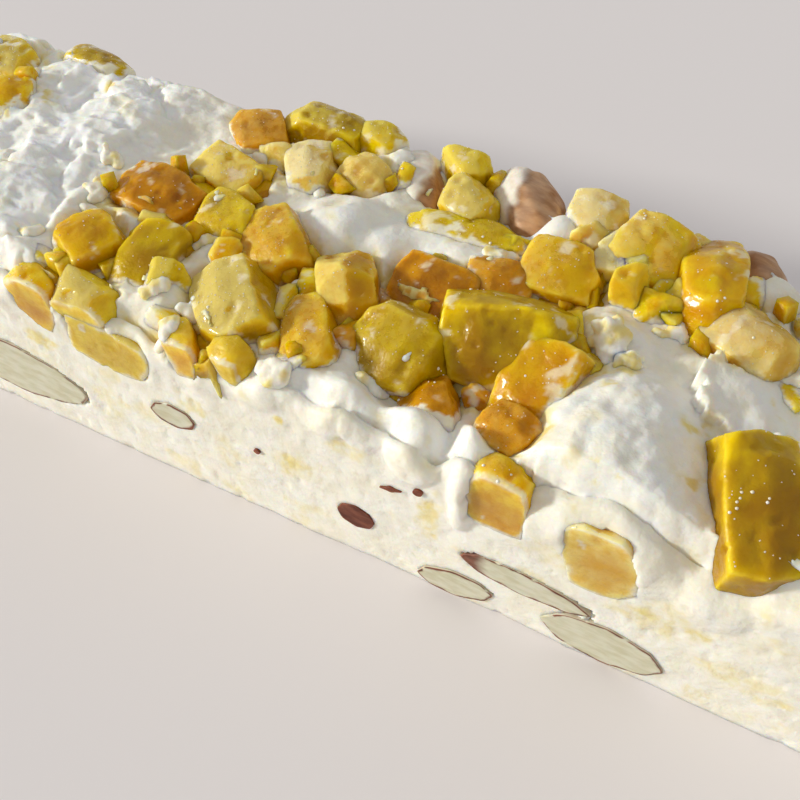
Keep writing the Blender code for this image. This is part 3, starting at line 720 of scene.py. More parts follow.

# %% [markdown]
# ## The finish of the paste
#
# Whipped sugar scatters light inside it: shadows are soft and bright edges glow a little. So most
# of its white comes from subsurface scattering with a reach of about a millimetre. The surface is
# satin, its roughness changing in patches of a couple of millimetres.

# %% Paste material
def paste_finish():
    recipe = Recipe("nougat paste")
    recipe.constants(Subsurface_Weight=1.0, Subsurface_Scale=0.6 * MM, Subsurface_Radius=(1.0, 0.8, 0.55),
                     Specular_IOR_Level=0.35, Coat_Weight=0.12, Coat_Roughness=0.35)
    white = recipe.mix(recipe.attribute("chalk"), colour(244, 240, 229), colour(251, 250, 246))
    cream = recipe.mix(recipe.attribute("chalk"), colour(238, 232, 214), colour(246, 243, 234))
    mottled = recipe.mix(recipe.between(recipe.grain(3 * MM), 0.35, 0.7), white, cream)
    broken = recipe.between(recipe.grain(1.2 * MM), 0.25, 0.65, 0.35, 1.0)
    share = recipe.math("MULTIPLY", recipe.attribute("stain"), broken)
    tinted = recipe.mix(recipe.between(share, 0.0, 0.5), mottled, colour(234, 216, 140))
    base = recipe.mix(recipe.between(share, 0.5, 1.0), tinted, colour(212, 160, 44))
    roughness = recipe.between(recipe.grain(2 * MM), 0.3, 0.7, 0.45, 0.7)
    pores = recipe.bump(recipe.grain(0.55 * MM, 4.0), 0.10 * MM, 0.8)
    soft = recipe.bump(recipe.grain(1.8 * MM, 3.0), 0.25 * MM, 0.8, pores)
    return recipe.finish(base, roughness, soft)


nougat_finish = paste_finish()
paste_piece = new_object("nougat_paste", skin)
skin.materials.append(nougat_finish)
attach(paste_piece, "root")
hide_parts("nougat")

# %% [markdown]
# ## Candied fruit
#
# Peel that has boiled in syrup turns glassy. It is cut in cubes when cold, so each piece has flat
# faces, crisp edges and corners knocked off. A few flat cuts are made through each solid to get
# those faces. A voxel remesh then gives it an even fine mesh whose edges are just rounded, and
# noise gives the faces their slow waves and fibres.

# %% Working copies of the solids
def solid_copy(name):
    """A solid's mesh with its loose triangles joined, ready to be worked on."""
    work = bmesh.new()
    work.from_mesh(frame["nodes"][name].data)
    bmesh.ops.remove_doubles(work, verts=work.verts, dist=0.002 * MM)
    return work


def knock_off(work, draw, cuts, deep, keep):
    """Slice thin bits off a closed piece with random flat cuts, away from a direction to keep."""
    for _ in range(cuts):
        way = Vector((draw.gauss(0, 1), draw.gauss(0, 1), draw.gauss(0.3, 1))).normalized()
        if keep is not None and way.dot(keep) > 0.5:
            continue
        reaches = [way.dot(vert.co) for vert in work.verts]
        reach = max(reaches) - deep * (max(reaches) - min(reaches)) * draw.uniform(0.5, 1.0)
        everything = work.verts[:] + work.edges[:] + work.faces[:]
        cut = bmesh.ops.bisect_plane(
            work, geom=everything, dist=INSIDE, plane_co=way * reach, plane_no=way, clear_outer=True)
        rim = [item for item in cut["geom_cut"] if isinstance(item, bmesh.types.BMEdge)]
        if rim:
            bmesh.ops.edgeloop_fill(work, edges=rim)
    bmesh.ops.recalc_face_normals(work, faces=work.faces)


def fuller(work, distance):
    """Move every point of a closed piece outwards."""
    work.normal_update()
    moves = [(vert, vert.normal.copy()) for vert in work.verts]
    for vert, normal in moves:
        vert.co += normal * distance


def fine_mesh(work, name, voxel, passes):
    """Remesh a working copy evenly and round its edges."""
    mesh = bpy.data.meshes.new(name)
    work.to_mesh(mesh)
    work.free()
    holder = bpy.data.objects.new(name, mesh)
    bpy.context.scene.collection.objects.link(holder)
    remesh = holder.modifiers.new("Remesh", "REMESH")
    remesh.mode = "VOXEL"
    remesh.voxel_size = voxel
    smooth = holder.modifiers.new("Smooth", "SMOOTH")
    smooth.factor = 0.5
    smooth.iterations = passes
    bpy.context.view_layer.update()
    seen_holder = holder.evaluated_get(bpy.context.evaluated_depsgraph_get())
    made = bpy.data.meshes.new_from_object(seen_holder)
    bpy.data.objects.remove(holder)
    made.name = name
    made.materials.clear()
    return made


# %% Colours of the candied pieces
# Body in the light, body where it lies deep in painted shade (also its darker streaks and darker pieces), and the
# sugar frosting on a cut face.
FRUIT_COLOURS = {
    "orange": (colour(253, 206, 2), colour(210, 140, 0), colour(244, 214, 112)),
    "amber": (colour(236, 166, 0), colour(160, 94, 0), colour(226, 184, 90)),
    "citron": (colour(246, 212, 4), colour(182, 134, 0), colour(226, 200, 84)),
    "lemon": (colour(248, 210, 48), colour(208, 160, 0), colour(220, 196, 106)),
    "peel": (colour(252, 216, 112), colour(224, 166, 22), colour(246, 222, 160)),
}
DEEPER = {                                # pieces darker or paler than their kind
    "citron_09": 0.45, "lemon_05": 0.3, "amber_03": 0.2, "amber_04": 0.1, "citron_07": 0.1, "orange_06": 0.4, "orange_11": 0.35,
    "citron_08": 0.1, "orange_12": 0.2, "amber_01": 0.1, "citron_02": 0.3, "orange_03": 0.0,
    "orange_02": -0.2, "orange_07": -0.2, "orange_13": 0.0, "peel_05": -0.2, "lemon_07": -0.3,
    "orange_05": 0.25, "orange_09": 0.1, "citron_01": 0.4, "amber_05": 0.1, "orange_08": 0.2, "citron_10": 0.3,
}
# The frosting share below also sets how pale a piece is painted on its faces turned to the sun side: partly real sugar
# frosting, partly painted light.
FROST_AND_SUNLIT = {                                 # how much of a piece is frosted, where it isn't ordinary
    "lemon_05": 1.0, "orange_04": 0.8, "lemon_02": 1.0, "lemon_01": 0.9, "lemon_03": 0.9, "lemon_04": 0.7,
    "lemon_07": 1.0, "peel_01": 0.9, "peel_04": 0.5, "peel_05": 0.8, "orange_06": 0.6, "orange_02": 0.5,
    "peel_03": 0.6, "citron_03": 0.8, "citron_04": 0.8, "citron_02": 0.6, "amber_01": 0.4,
    "orange_08": 0.15, "orange_03": 0.1, "citron_07": 0.1, "citron_09": 0.1, "amber_03": 0.05,
    "amber_05": 0.1, "orange_09": 0.1, "citron_10": 0.15, "orange_01": 0.1, "amber_02": 0.15,
}
ORDINARY_FROST_AND_SUNLIT = 0.35


def candied_finish():
    recipe = Recipe("candied peel")
    recipe.constants(Subsurface_Weight=1.0, Subsurface_Scale=1.8 * MM, Subsurface_Radius=(0.85, 0.85, 0.25),
                     Specular_IOR_Level=0.13, Coat_Weight=0.15, Coat_Roughness=0.08, IOR=1.42)
    crystals = recipe.between(recipe.grain(0.7 * MM, 3.0), 0.3, 0.7, -0.08, 0.08)
    # The pale sugar colour goes where a piece is frosted and on its faces turned to the sun: real frosting and painted
    # light.
    frosted_and_sunlit = recipe.between(recipe.math("ADD", recipe.attribute("frost"), crystals), 0.15, 0.75)
    tone = recipe.mix(recipe.between(recipe.grain(1.6 * MM, 3.0, (1.0, 0.5, 1.0)), 0.35, 0.7, 0.0, 0.55),
                      recipe.attribute("tone", "Color"), recipe.attribute("deep", "Color"))
    base = recipe.mix(frosted_and_sunlit, tone, recipe.attribute("sugar", "Color"))
    roughness = recipe.between(frosted_and_sunlit, 0.0, 1.0, 0.24, 0.6)
    recipe.link(recipe.attribute("clear"), recipe.shader.inputs["Transmission Weight"])
    facets = recipe.bump(recipe.grain(0.35 * MM, 3.0), 0.11 * MM, 0.8)
    waves = recipe.bump(recipe.grain(1.3 * MM, 2.0), 0.22 * MM, 0.8, facets)
    return recipe.finish(base, roughness, waves)


candied = candied_finish()

# %% Give a closed piece the surface of candied peel
VOXEL = 0.30 * MM
CLEAREST = 0.34                           # how clear the middle of a piece is
# Faces turned this way, towards the key light, are painted pale in the frosting colour: partly sugar frosting, partly
# painted light on the lit faces.
SUN_SIDE = Vector((-0.50, -0.30, 0.81))   # frost shows most on faces turned this way


def quads_of(mesh):
    """The corners of a mesh of quads."""
    corners = np.empty(len(mesh.loops), np.int32)
    mesh.loops.foreach_get("vertex_index", corners)
    return corners.reshape(-1, 4)


def convexity(mesh, points, normals, size):
    """How sharply the surface bends outwards at each point, in parts of the mesh size."""
    ends = np.empty(len(mesh.edges) * 2, np.int32)
    mesh.edges.foreach_get("vertices", ends)
    ends = ends.reshape(-1, 2)
    ends = np.concatenate([ends, ends[:, ::-1]])
    count = np.bincount(ends[:, 0], minlength=len(points))[:, None]

    def mean_of_neighbours(values):
        total = np.stack([np.bincount(ends[:, 0], column[ends[:, 1]], len(points)) for column in values.T], 1)
        return total / count

    bend = ((points - mean_of_neighbours(points)) * normals).sum(1)[:, None] / size
    for _ in range(2):
        bend = 0.5 * bend + 0.5 * mean_of_neighbours(bend)
    return bend[:, 0]


LIGHT_REACH = 1.5 * MM                    # how far light gets in from the next face
PASTE_TONE = colour(247, 240, 218)        # a thin layer of paste on the fruit


def light_from_the_sides(points, normals, quads):
    """0 deep inside a face, rising towards its edges, where light comes in from the next face."""
    walls = BVHTree.FromPolygons(points.tolist(), quads.tolist())
    helper = np.where(np.abs(normals[:, 2:]) < 0.8, (0.0, 0.0, 1.0), (1.0, 0.0, 0.0))
    first = np.cross(normals, helper)
    first /= np.linalg.norm(first, axis=1)[:, None] + INSIDE
    second = np.cross(normals, first)
    starts = points - normals * (0.7 * MM)
    total = np.zeros(len(points))
    for way in (first, -first, second, -second):
        hits = [walls.ray_cast(start, direction)[3] for start, direction in zip(starts.tolist(), way.tolist())]
        runs = np.array([FAR if run is None else run for run in hits])
        total += np.exp(-runs / LIGHT_REACH)
    return ease(total / 4, 0.06, 0.42)


def smeared(points, tone, shift):
    """Paste smeared by the knife over the outer part of a face cut flush with the near side."""
    on_face = points[:, 1] < 0.35 * MM - side_reach
    corners = points[on_face][:, [0, 2]]
    loop = corners[convex_hull_2d(corners.tolist())]
    steps_round = np.linspace(0.0, 1.0, 12, endpoint=False)[None, :, None]
    loop = (loop[:, None] + (np.roll(loop, -1, 0) - loop)[:, None] * steps_round).reshape(-1, 2)
    rim = np.sqrt(((points[:, None, [0, 2]] - loop[None]) ** 2).sum(2).min(1))
    reach = (0.6 + 0.8 * uneven(points + shift, 2.2 * MM, 2)) * MM
    share = on_face * (0.85 * (1.0 - ease(rim, 0.3 * reach, reach + INSIDE)) + 0.12)[:, None].T[0]
    return tone * (1.0 - share[:, None]) + np.array(colour(242, 232, 204)[:3]) * share[:, None]


def paste_left(points, shift):
    """How far points are covered by paste: round the foot of a piece and in a few thin patches."""
    column = np.clip(np.round((points[:, 0] - low.x) / LENGTH * ALONG).astype(int), 0, ALONG)
    row = np.clip(np.round((points[:, 1] - low.y) / WIDTH * ACROSS).astype(int), 0, ACROSS)
    climb = (0.3 + 1.1 * uneven(points + shift + 0.2, 1.8 * MM, 3)) * MM
    foot = 1.0 - ease(points[:, 2] - bare[column, row], climb, climb + 0.25 * MM)
    patch = ease(uneven(points + shift + 0.8, 2.4 * MM, 4), 0.46, 0.66)
    return np.clip(0.9 * foot * (1.0 - 0.8 * between[column, row]) + 0.6 * patch, 0.0, 0.9)


def candied_body(work, name, family, frost_and_sunlit_share, swell, flush=None, seed="", voxel=VOXEL):
    """Remesh a closed piece, wave its faces and work out its colours."""
    draw = random.Random(name + seed)
    fuller(work, swell)
    mesh = fine_mesh(work, name, voxel, 1)
    points, normals = points_of(mesh), normals_of(mesh)
    quads = quads_of(mesh)
    lit = light_from_the_sides(points, normals, quads)
    shift = draw.uniform(0, 0.1)
    grain_way = Matrix.Rotation(draw.uniform(0, math.tau), 3, "Z") @ Matrix.Rotation(draw.uniform(-0.5, 0.5), 3, "X")
    turned = points @ np.array(grain_way)
    waves = uneven(points + shift, 3.0 * MM, 2)
    fibres = uneven(turned * (0.25, 1.0, 1.0) + shift, 0.9 * MM, 2)
    dents = ease(uneven(points + shift + 0.5, 2.0 * MM, 2), 0.25, 0.7)
    rim = ease(convexity(mesh, points, normals, voxel), 0.025, 0.12)
    points = points + normals * ((0.16 * waves + 0.07 * fibres - 0.22 * dents) * MM)[:, None]
    if flush is not None:
        points[:, 1] = np.maximum(points[:, 1], -side_reach - 0.05 * MM)
    set_points(mesh, points)
    light_tone, deep_tone, sugar_tone = (np.array(tone[:3]) for tone in FRUIT_COLOURS[family])
    # Painted shade: the tone turns deeper towards the bottom of each piece, where it sinks into the paste; lit paints
    # a glow that makes it paler near its edges.
    depth = np.clip((points[:, 2].max() - points[:, 2]) / (5 * MM), 0, 1)
    cloud = uneven(points + shift, 3.0 * MM, 2)
    blend = np.clip(0.25 + DEEPER.get(name, 0.0) + 0.5 * depth + 0.5 * cloud - 0.6 * lit, 0, 1)[:, None]
    warm = 1.0 + 0.08 * draw.uniform(-1, 1)
    tone = ((1 - blend) * light_tone + blend * deep_tone) * warm
    # Convex edges are turned pale: partly sugar frosting on the edges, partly a painted highlight where thin edges
    # catch the light.
    tone = (1 - 0.75 * rim[:, None]) * tone + 0.75 * rim[:, None] * (0.6 * sugar_tone + 0.4 * light_tone)
    if flush is not None:
        tone = smeared(points, tone, shift)
    # Painted light: faces turned to the sun side get the pale frosting colour, on top of the real frosting along the
    # edges.
    facing = normals_of(mesh) @ np.array(SUN_SIDE)
    frost = frost_and_sunlit_share * ease(facing + 0.15 * cloud, 0.55, 0.85) + 0.25 * rim * frost_and_sunlit_share
    clear = CLEAREST * (1 - lit) * (1 - 0.7 * np.clip(frost, 0, 1)) * (1 - 0.6 * rim)
    left = np.zeros(len(points)) if flush or name == "citron_09" else paste_left(points, shift)
    covered = left[:, None]
    paste_tone = np.array(PASTE_TONE[:3])
    body = {
        "points": points, "quads": quads, "tone": tone * (1 - covered) + paste_tone * covered,
        "frost": frost * (1 - left), "clear": clear * (1 - left),
        "deep": deep_tone * (1 - covered) + paste_tone * covered,
        "sugar": sugar_tone * (1 - covered) + paste_tone * covered}
    bpy.data.meshes.remove(mesh)
    return body


def candied_piece(name, bodies, slot):
    """One piece of the scene from one or more candied bodies."""
    starts = np.cumsum([0] + [len(body["points"]) for body in bodies])
    points = np.concatenate([body["points"] for body in bodies])
    quads = np.concatenate([body["quads"] + start for body, start in zip(bodies, starts)])
    mesh = bpy.data.meshes.new(name)
    mesh.from_pydata(points.tolist(), [], quads.tolist())
    for layer in ("tone", "deep", "sugar"):
        paint_colour(mesh, layer, np.concatenate([body[layer] for body in bodies]))
    for layer in ("frost", "clear"):
        paint(mesh, layer, np.concatenate([body[layer] for body in bodies]))
    mesh.materials.append(candied)
    made = new_object(name, mesh)
    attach(made, "root")
    return made


# %% Make every candied piece
def fruit_piece(name):
    """One candied piece in place of its solid."""
    family = name.split("_")[0]
    flush = Vector((0, -1, 0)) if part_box(name)[0].y < -side_reach + 0.05 * MM else None
    work = solid_copy(name)
    knock_off(work, random.Random(name), 6, 0.08, flush)
    body = candied_body(work, name, family, FROST_AND_SUNLIT.get(name, ORDINARY_FROST_AND_SUNLIT), swell_of(name), flush)
    made = candied_piece("candied_" + name, [body], family)
    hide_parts(name)
    return made


fruit_names = [name for name in names if name.split("_")[0] in FRUIT_COLOURS]
fruit_pieces = [fruit_piece(name) for name in fruit_names]
print(len(fruit_names), "candied pieces with", sum(len(made.data.vertices) for made in fruit_pieces), "points")

# %% [markdown]
# ## Small candied bits between the pieces
#
# Cubes break when they are stirred in, so bits of a few millimetres fill the gaps. The larger
# bits are set one by one, each a block with its corners cut off, sunk into the paste.

# %% Larger bits
BITS = (                                  # x, y, how far it stands out, length, width in mm, turn, family
    (0.8, -9.6, 1.6, 5.4, 3.6, -60, "orange"), (2.4, -6.2, 1.8, 4.6, 3.6, 20, "orange"),
    (8.2, -3.6, 1.0, 5.0, 4.0, 30, "amber"), (8.0, -9.6, 0.6, 4.6, 4.2, 0, "amber"),
    (5.0, -15.6, 1.0, 4.2, 3.4, 40, "orange"), (-8.4, -6.4, 0.8, 5.0, 3.6, -20, "orange"),
    (-18.9, -5.4, 0.9, 4.6, 3.4, 15, "orange"), (-11.8, -12.6, 1.0, 5.4, 4.0, 50, "citron"),
    (-9.2, -15.0, 0.6, 4.2, 3.6, 0, "orange"), (-16.4, 1.6, 1.0, 5.2, 3.2, -10, "orange"),
    (-8.6, 2.4, 0.5, 4.8, 3.0, 30, "citron"), (18.6, -4.4, 1.2, 5.2, 4.2, 12, "citron"),
    (27.4, 0.6, 1.0, 5.4, 3.8, 30, "orange"), (17.6, -0.4, 0.6, 4.6, 3.0, 8, "amber"),
    (22.4, -9.8, 0.4, 4.4, 3.8, -20, "amber"), (28.6, 9.4, 2.2, 6.0, 5.4, 20, "orange"),
    (30.4, 7.2, 2.0, 3.6, 3.4, 0, "lemon"), (34.4, 8.2, 1.8, 5.6, 4.4, -40, "orange"),
    (35.0, 16.0, 2.0, 5.6, 4.0, -10, "peel"), (39.6, 8.6, 1.0, 4.8, 4.0, 10, "amber"),
    (41.0, 12.8, 1.4, 5.0, 4.0, 30, "orange"), (26.6, 12.4, 1.6, 4.8, 4.2, 0, "peel"),
    (17.6, 8.6, 1.0, 4.6, 3.4, 20, "orange"), (-12.6, 10.8, 1.2, 4.8, 3.8, -20, "peel"),
    (-5.0, 13.6, 1.4, 5.4, 3.2, 0, "citron"), (-13.4, 16.4, 1.0, 4.6, 3.0, 0, "citron"),
    (2.4, 13.4, 0.8, 4.2, 3.4, 30, "orange"), (28.6, -14.6, 0.2, 4.4, 3.4, 20, "orange"),
    (47.4, 3.2, 0.8, 4.8, 3.8, -20, "orange"), (-26.6, -14.4, 0.6, 4.6, 3.4, 20, "citron"),
    (-22.6, -14.2, 0.8, 4.4, 3.4, -30, "orange"), (1.2, -13.6, 1.0, 4.6, 3.0, -50, "orange"),
    (23.6, 8.2, 2.0, 7.0, 5.0, -10, "peel"), (28.6, 11.4, 2.6, 7.4, 6.0, 15, "peel"),
    (33.3, 6.6, 2.3, 4.6, 4.2, 35, "orange"), (36.9, 9.4, 2.4, 6.0, 5.4, -20, "orange"),
    (24.4, 13.6, 2.4, 6.4, 5.0, 10, "peel"), (41.0, 7.4, 1.4, 5.6, 4.6, 30, "peel"))
BIT_HEIGHT = 4.4 * MM


def paste_height(x, y):
    """Height of the paste at a place of the top."""
    column = int(round((x - low.x) / LENGTH * ALONG))
    row = int(round((y - low.y) / WIDTH * ACROSS))
    return paste[column, row]


def bit(number, x, y, stand, length, width, turn, family):
    """One bit as a candied body."""
    draw = random.Random(number)
    middle = Vector((x * MM, y * MM, paste_height(x * MM, y * MM) + stand * MM - 0.5 * BIT_HEIGHT))
    lean = Matrix.Rotation(draw.uniform(-0.35, 0.35), 4, "X") @ Matrix.Rotation(draw.uniform(-0.35, 0.35), 4, "Y")
    size = Matrix.Diagonal((length * MM, width * MM, BIT_HEIGHT, 1.0))
    work = bmesh.new()
    bmesh.ops.create_cube(work, size=1.0)
    bmesh.ops.transform(
        work, matrix=Matrix.Translation(middle) @ Matrix.Rotation(math.radians(turn), 4, "Z") @ lean @ size,
        verts=work.verts)
    knock_off(work, draw, 9, 0.22, None)
    return candied_body(work, "bit", family, draw.choice((0.1, 0.4, 0.7)), 0.0, seed=str(number), voxel=0.32 * MM)


bits = candied_piece("candied_bits", [bit(number, *row) for number, row in enumerate(BITS)], "orange")
print(len(BITS), "larger bits with", len(bits.data.vertices), "points")

# %% [markdown]
# ## Crushed fruit in syrup
#
# Between crowded pieces the gaps are full of crushed fruit, stuck together with syrup. It is one
# sheet that follows the tops of the pieces about a millimetre lower, covered with round lumps of
# three millimetres, each of its own colour. Towards open paste it dives under it.

# %% Fill the gaps
LUMP_SIZE = 2.6 * MM
SYRUP_THICK = 2.0 * MM
tops = soften(carried_on(np.where(piece, seen, paste), ~piece, 150), 3)
nearest = [noise.voronoi(spot) for spot in (flat_spots / LUMP_SIZE).tolist()]
apart = np.array([found[0][0] for found in nearest]).reshape(paste.shape)
which = np.array([found[1][0][:] for found in nearest])
dive = 1.0 - ease(crowd, 0.1, 0.45) + ease(away, 2.0 * MM, 3.4 * MM)
lumps_in_it = np.clip(1.0 - (apart / 0.75) ** 2, 0, 1)
syrup_height = tops + (0.7 * lumps_in_it - 1.1 + 0.5 * field(3.0 * MM, 2, 3.3)) * MM
syrup_height -= 3.0 * MM * np.clip(dive, 0, 1)
syrup_height = np.where(piece, np.minimum(syrup_height, seen - 0.5 * MM), syrup_height)
used = grown((syrup_height > height - 0.5 * MM) & (crowd > 0.15) & ~piece, 2)
used &= around(((34.5, 4.0, 4.5),)) < 0.3   # the smooth lump keeps its clean foot here
used = grown(~grown(~used, 1), 1)
corner = used[:-1, :-1] & used[1:, :-1] & used[1:, 1:] & used[:-1, 1:]
numbers = np.arange(paste.size).reshape(paste.shape)
cells = np.stack([numbers[:-1, :-1], numbers[1:, :-1], numbers[1:, 1:], numbers[:-1, 1:]], axis=-1)[corner]
sheet_points = np.dstack([across_x, across_y, syrup_height]).reshape(-1, 3)
kept, upper = np.unique(cells, return_inverse=True)
upper = upper.reshape(cells.shape)
ends = np.stack([upper, np.roll(upper, -1, 1)], axis=-1).reshape(-1, 2)
code = ends.min(1) * len(kept) + ends.max(1)
_, first, times = np.unique(code, return_index=True, return_counts=True)
open_ends = ends[first[times == 1]]
walls = np.column_stack([open_ends[:, ::-1], open_ends + len(kept)])
under = sheet_points[kept] - (0.0, 0.0, SYRUP_THICK)
syrup_mesh = bpy.data.meshes.new("crushed_fruit")
syrup_mesh.from_pydata(np.concatenate([sheet_points[kept], under]).tolist(), [],
                       np.concatenate([upper, upper[:, ::-1] + len(kept), walls]).tolist())
syrup_points = points_of(syrup_mesh)
cell_x = np.clip(np.round((syrup_points[:, 0] - low.x) / LENGTH * ALONG).astype(int), 0, ALONG)
cell_y = np.clip(np.round((syrup_points[:, 1] - low.y) / WIDTH * ACROSS).astype(int), 0, ACROSS)
chance = (np.abs(np.sin(which @ np.array((12.9, 78.2, 37.7)))) * 43.7 % 1.0).reshape(paste.shape)[cell_x, cell_y]
light_of = np.array([FRUIT_COLOURS[kind][0][:3] for kind in ("amber", "orange", "citron", "orange", "peel")])
deep_of = np.array([FRUIT_COLOURS[kind][1][:3] for kind in ("amber", "orange", "orange", "orange", "peel")])
family_of = np.clip((chance * 5).astype(int), 0, 4)
# Painted shade: each lump goes over to the deep tone towards its edge, in the creases between lumps.
share = np.clip(0.3 + 0.5 * apart[cell_x, cell_y], 0, 1)[:, None]
paint_colour(syrup_mesh, "tone", light_of[family_of] * (1 - share) + deep_of[family_of] * share)
paint_colour(syrup_mesh, "deep", deep_of[family_of])
paint_colour(syrup_mesh, "sugar", light_of[family_of])
paint(syrup_mesh, "frost", np.zeros(len(syrup_points)))
paint(syrup_mesh, "clear", np.full(len(syrup_points), 0.15))
syrup_mesh.materials.append(candied)
crushed = new_object("crushed_fruit", syrup_mesh)
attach(crushed, "root")
print("crushed fruit:", len(syrup_points), "points")

# %% [markdown]
# ## Scattered bits, specks of paste and sugar
#
# What is smaller than that repeats too often to be set by hand. One Geometry Nodes tree spreads
# points over a surface as densely as a painted mask says, puts one of a few seed shapes on each
# point with a random turn and size, and makes it all real mesh at the end. The same tree serves
# for candied crumbs, for specks of paste and for sugar crystals: only its inputs differ.

# %% Seed shapes with few faces
def seed_shape(name, kind, number):
    """A small closed shape about 1 m across, to be scattered at a small scale."""
    draw = random.Random(kind + str(number))
    work = bmesh.new()
    if kind == "grain":
        bmesh.ops.create_cube(work, size=1.0)
        bmesh.ops.subdivide_edges(work, edges=work.edges[:], cuts=1, use_grid_fill=True)
        for vert in work.verts:
            vert.co = vert.co.normalized() * draw.uniform(0.42, 0.55)
    else:
        bmesh.ops.create_cube(work, size=1.0)
        bmesh.ops.scale(work, vec=(1.0, draw.uniform(0.6, 0.9), draw.uniform(0.5, 0.8)), verts=work.verts)
        if kind == "chip":
            knock_off(work, draw, 5, 0.25, None)
    mesh = bpy.data.meshes.new(name)
    bmesh.ops.recalc_face_normals(work, faces=work.faces)
    work.to_mesh(mesh)
    work.free()
    if kind != "chip":
        return new_object(name, mesh)
    rough = new_object(name, mesh)
    rounding = rough.modifiers.new("Subdivision", "SUBSURF")
    rounding.levels = rounding.render_levels = 1
    crease = mesh.attributes.new("crease_edge", "FLOAT", "EDGE")
    crease.data.foreach_set("value", [0.55] * len(mesh.edges))
    bpy.context.view_layer.update()
    rounded = bpy.data.meshes.new_from_object(rough.evaluated_get(bpy.context.evaluated_depsgraph_get()))
    bpy.data.objects.remove(rough)
    return new_object(name, rounded)


def seed_box(kind, count):
    """A collection of seed shapes of one kind."""
    holder = bpy.data.collections.new(kind + " seeds")
    for number in range(count):
        holder.objects.link(seed_shape(f"{kind}_seed_{number}", kind, number))
    return holder


# %% The scattering tree
def scatter_tree():
    """Seed shapes on points of a surface, with every size as a named input."""
    tree = bpy.data.node_groups.new("scatter", "GeometryNodeTree")
    sockets = (
        ("Geometry", "INPUT", "NodeSocketGeometry"), ("Mask", "INPUT", "NodeSocketString"),
        ("Spacing", "INPUT", "NodeSocketFloat"), ("Density", "INPUT", "NodeSocketFloat"),
        ("Smallest", "INPUT", "NodeSocketFloat"), ("Largest", "INPUT", "NodeSocketFloat"),
        ("Lift", "INPUT", "NodeSocketFloat"), ("Seed", "INPUT", "NodeSocketInt"),
        ("Shapes", "INPUT", "NodeSocketCollection"), ("Finish", "INPUT", "NodeSocketMaterial"),
        ("Geometry", "OUTPUT", "NodeSocketGeometry"))
    for name, way, kind in sockets:
        tree.interface.new_socket(name=name, in_out=way, socket_type=kind)
    add, link = tree.nodes.new, tree.links.new
    given, result = add("NodeGroupInput"), add("NodeGroupOutput")
    mask = add("GeometryNodeInputNamedAttribute")
    spread = add("GeometryNodeDistributePointsOnFaces")
    spread.distribute_method = "POISSON"
    raise_up = add("GeometryNodeSetPosition")
    along_normal = add("ShaderNodeVectorMath")
    along_normal.operation = "SCALE"
    shapes = add("GeometryNodeCollectionInfo")
    turn = add("FunctionNodeRandomValue")
    turn.data_type = "FLOAT_VECTOR"
    size = add("FunctionNodeRandomValue")
    place = add("GeometryNodeInstanceOnPoints")
    real = add("GeometryNodeRealizeInstances")
    dress = add("GeometryNodeSetMaterial")
    link(given.outputs["Geometry"], spread.inputs["Mesh"])
    link(given.outputs["Mask"], mask.inputs["Name"])
    link(mask.outputs["Attribute"], spread.inputs["Density Factor"])
    link(given.outputs["Spacing"], spread.inputs["Distance Min"])
    link(given.outputs["Density"], spread.inputs["Density Max"])
    link(given.outputs["Seed"], spread.inputs["Seed"])
    link(spread.outputs["Normal"], along_normal.inputs[0])
    link(given.outputs["Lift"], along_normal.inputs["Scale"])
    link(spread.outputs["Points"], raise_up.inputs["Geometry"])
    link(along_normal.outputs["Vector"], raise_up.inputs["Offset"])
    link(given.outputs["Shapes"], shapes.inputs["Collection"])
    shapes.inputs["Separate Children"].default_value = True
    shapes.inputs["Reset Children"].default_value = True
    turn.inputs["Max"].default_value = (math.tau, math.tau, math.tau)
    link(given.outputs["Seed"], turn.inputs["Seed"])
    link(given.outputs["Smallest"], size.inputs[2])
    link(given.outputs["Largest"], size.inputs[3])
    link(given.outputs["Seed"], size.inputs["Seed"])
    link(raise_up.outputs["Geometry"], place.inputs["Points"])
    link(shapes.outputs["Instances"], place.inputs["Instance"])
    place.inputs["Pick Instance"].default_value = True
    link(turn.outputs["Value"], place.inputs["Rotation"])
    link(size.outputs[1], place.inputs["Scale"])
    link(place.outputs["Instances"], real.inputs["Geometry"])
    link(real.outputs["Geometry"], dress.inputs["Geometry"])
    link(given.outputs["Finish"], dress.inputs["Material"])
    link(dress.outputs["Geometry"], result.inputs["Geometry"])
    return tree


scatter = scatter_tree()


def scattered(name, surface, **inputs):
    """Run the tree over a copy of a surface and return the plain mesh it makes."""
    holder = bpy.data.objects.new(name, surface.copy())
    bpy.context.scene.collection.objects.link(holder)
    step = holder.modifiers.new("scatter", "NODES")
    step.node_group = scatter
    for socket in scatter.interface.items_tree:
        if socket.in_out == "INPUT" and socket.name in inputs:
            step[socket.identifier] = inputs[socket.name]
    bpy.context.view_layer.update()
    ready = holder.evaluated_get(bpy.context.evaluated_depsgraph_get())
    mesh = bpy.data.meshes.new_from_object(ready)
    bpy.data.objects.remove(holder)
    mesh.name = name
    return mesh


def sugar_finish():
    recipe = Recipe("sugar grains")
    recipe.constants(Specular_IOR_Level=0.4)
    base = recipe.mix(recipe.between(recipe.grain(1.0 * MM), 0.3, 0.7), colour(250, 246, 234), colour(240, 228, 196))
    return recipe.finish(base, recipe.between(recipe.grain(0.6 * MM), 0.3, 0.7, 0.3, 0.6))


sugary = sugar_finish()

# %% Candied crumbs in the gaps
chips = seed_box("chip", 7)
grains_box = seed_box("grain", 5)
crystals_box = seed_box("crystal", 3)
crumb_mesh = scattered(
    "candied_crumbs", skin, Mask="crowd", Spacing=2.6 * MM, Density=0.3e6, Smallest=2.1 * MM, Largest=3.6 * MM,
    Lift=0.7 * MM, Seed=4, Shapes=chips, Finish=candied)


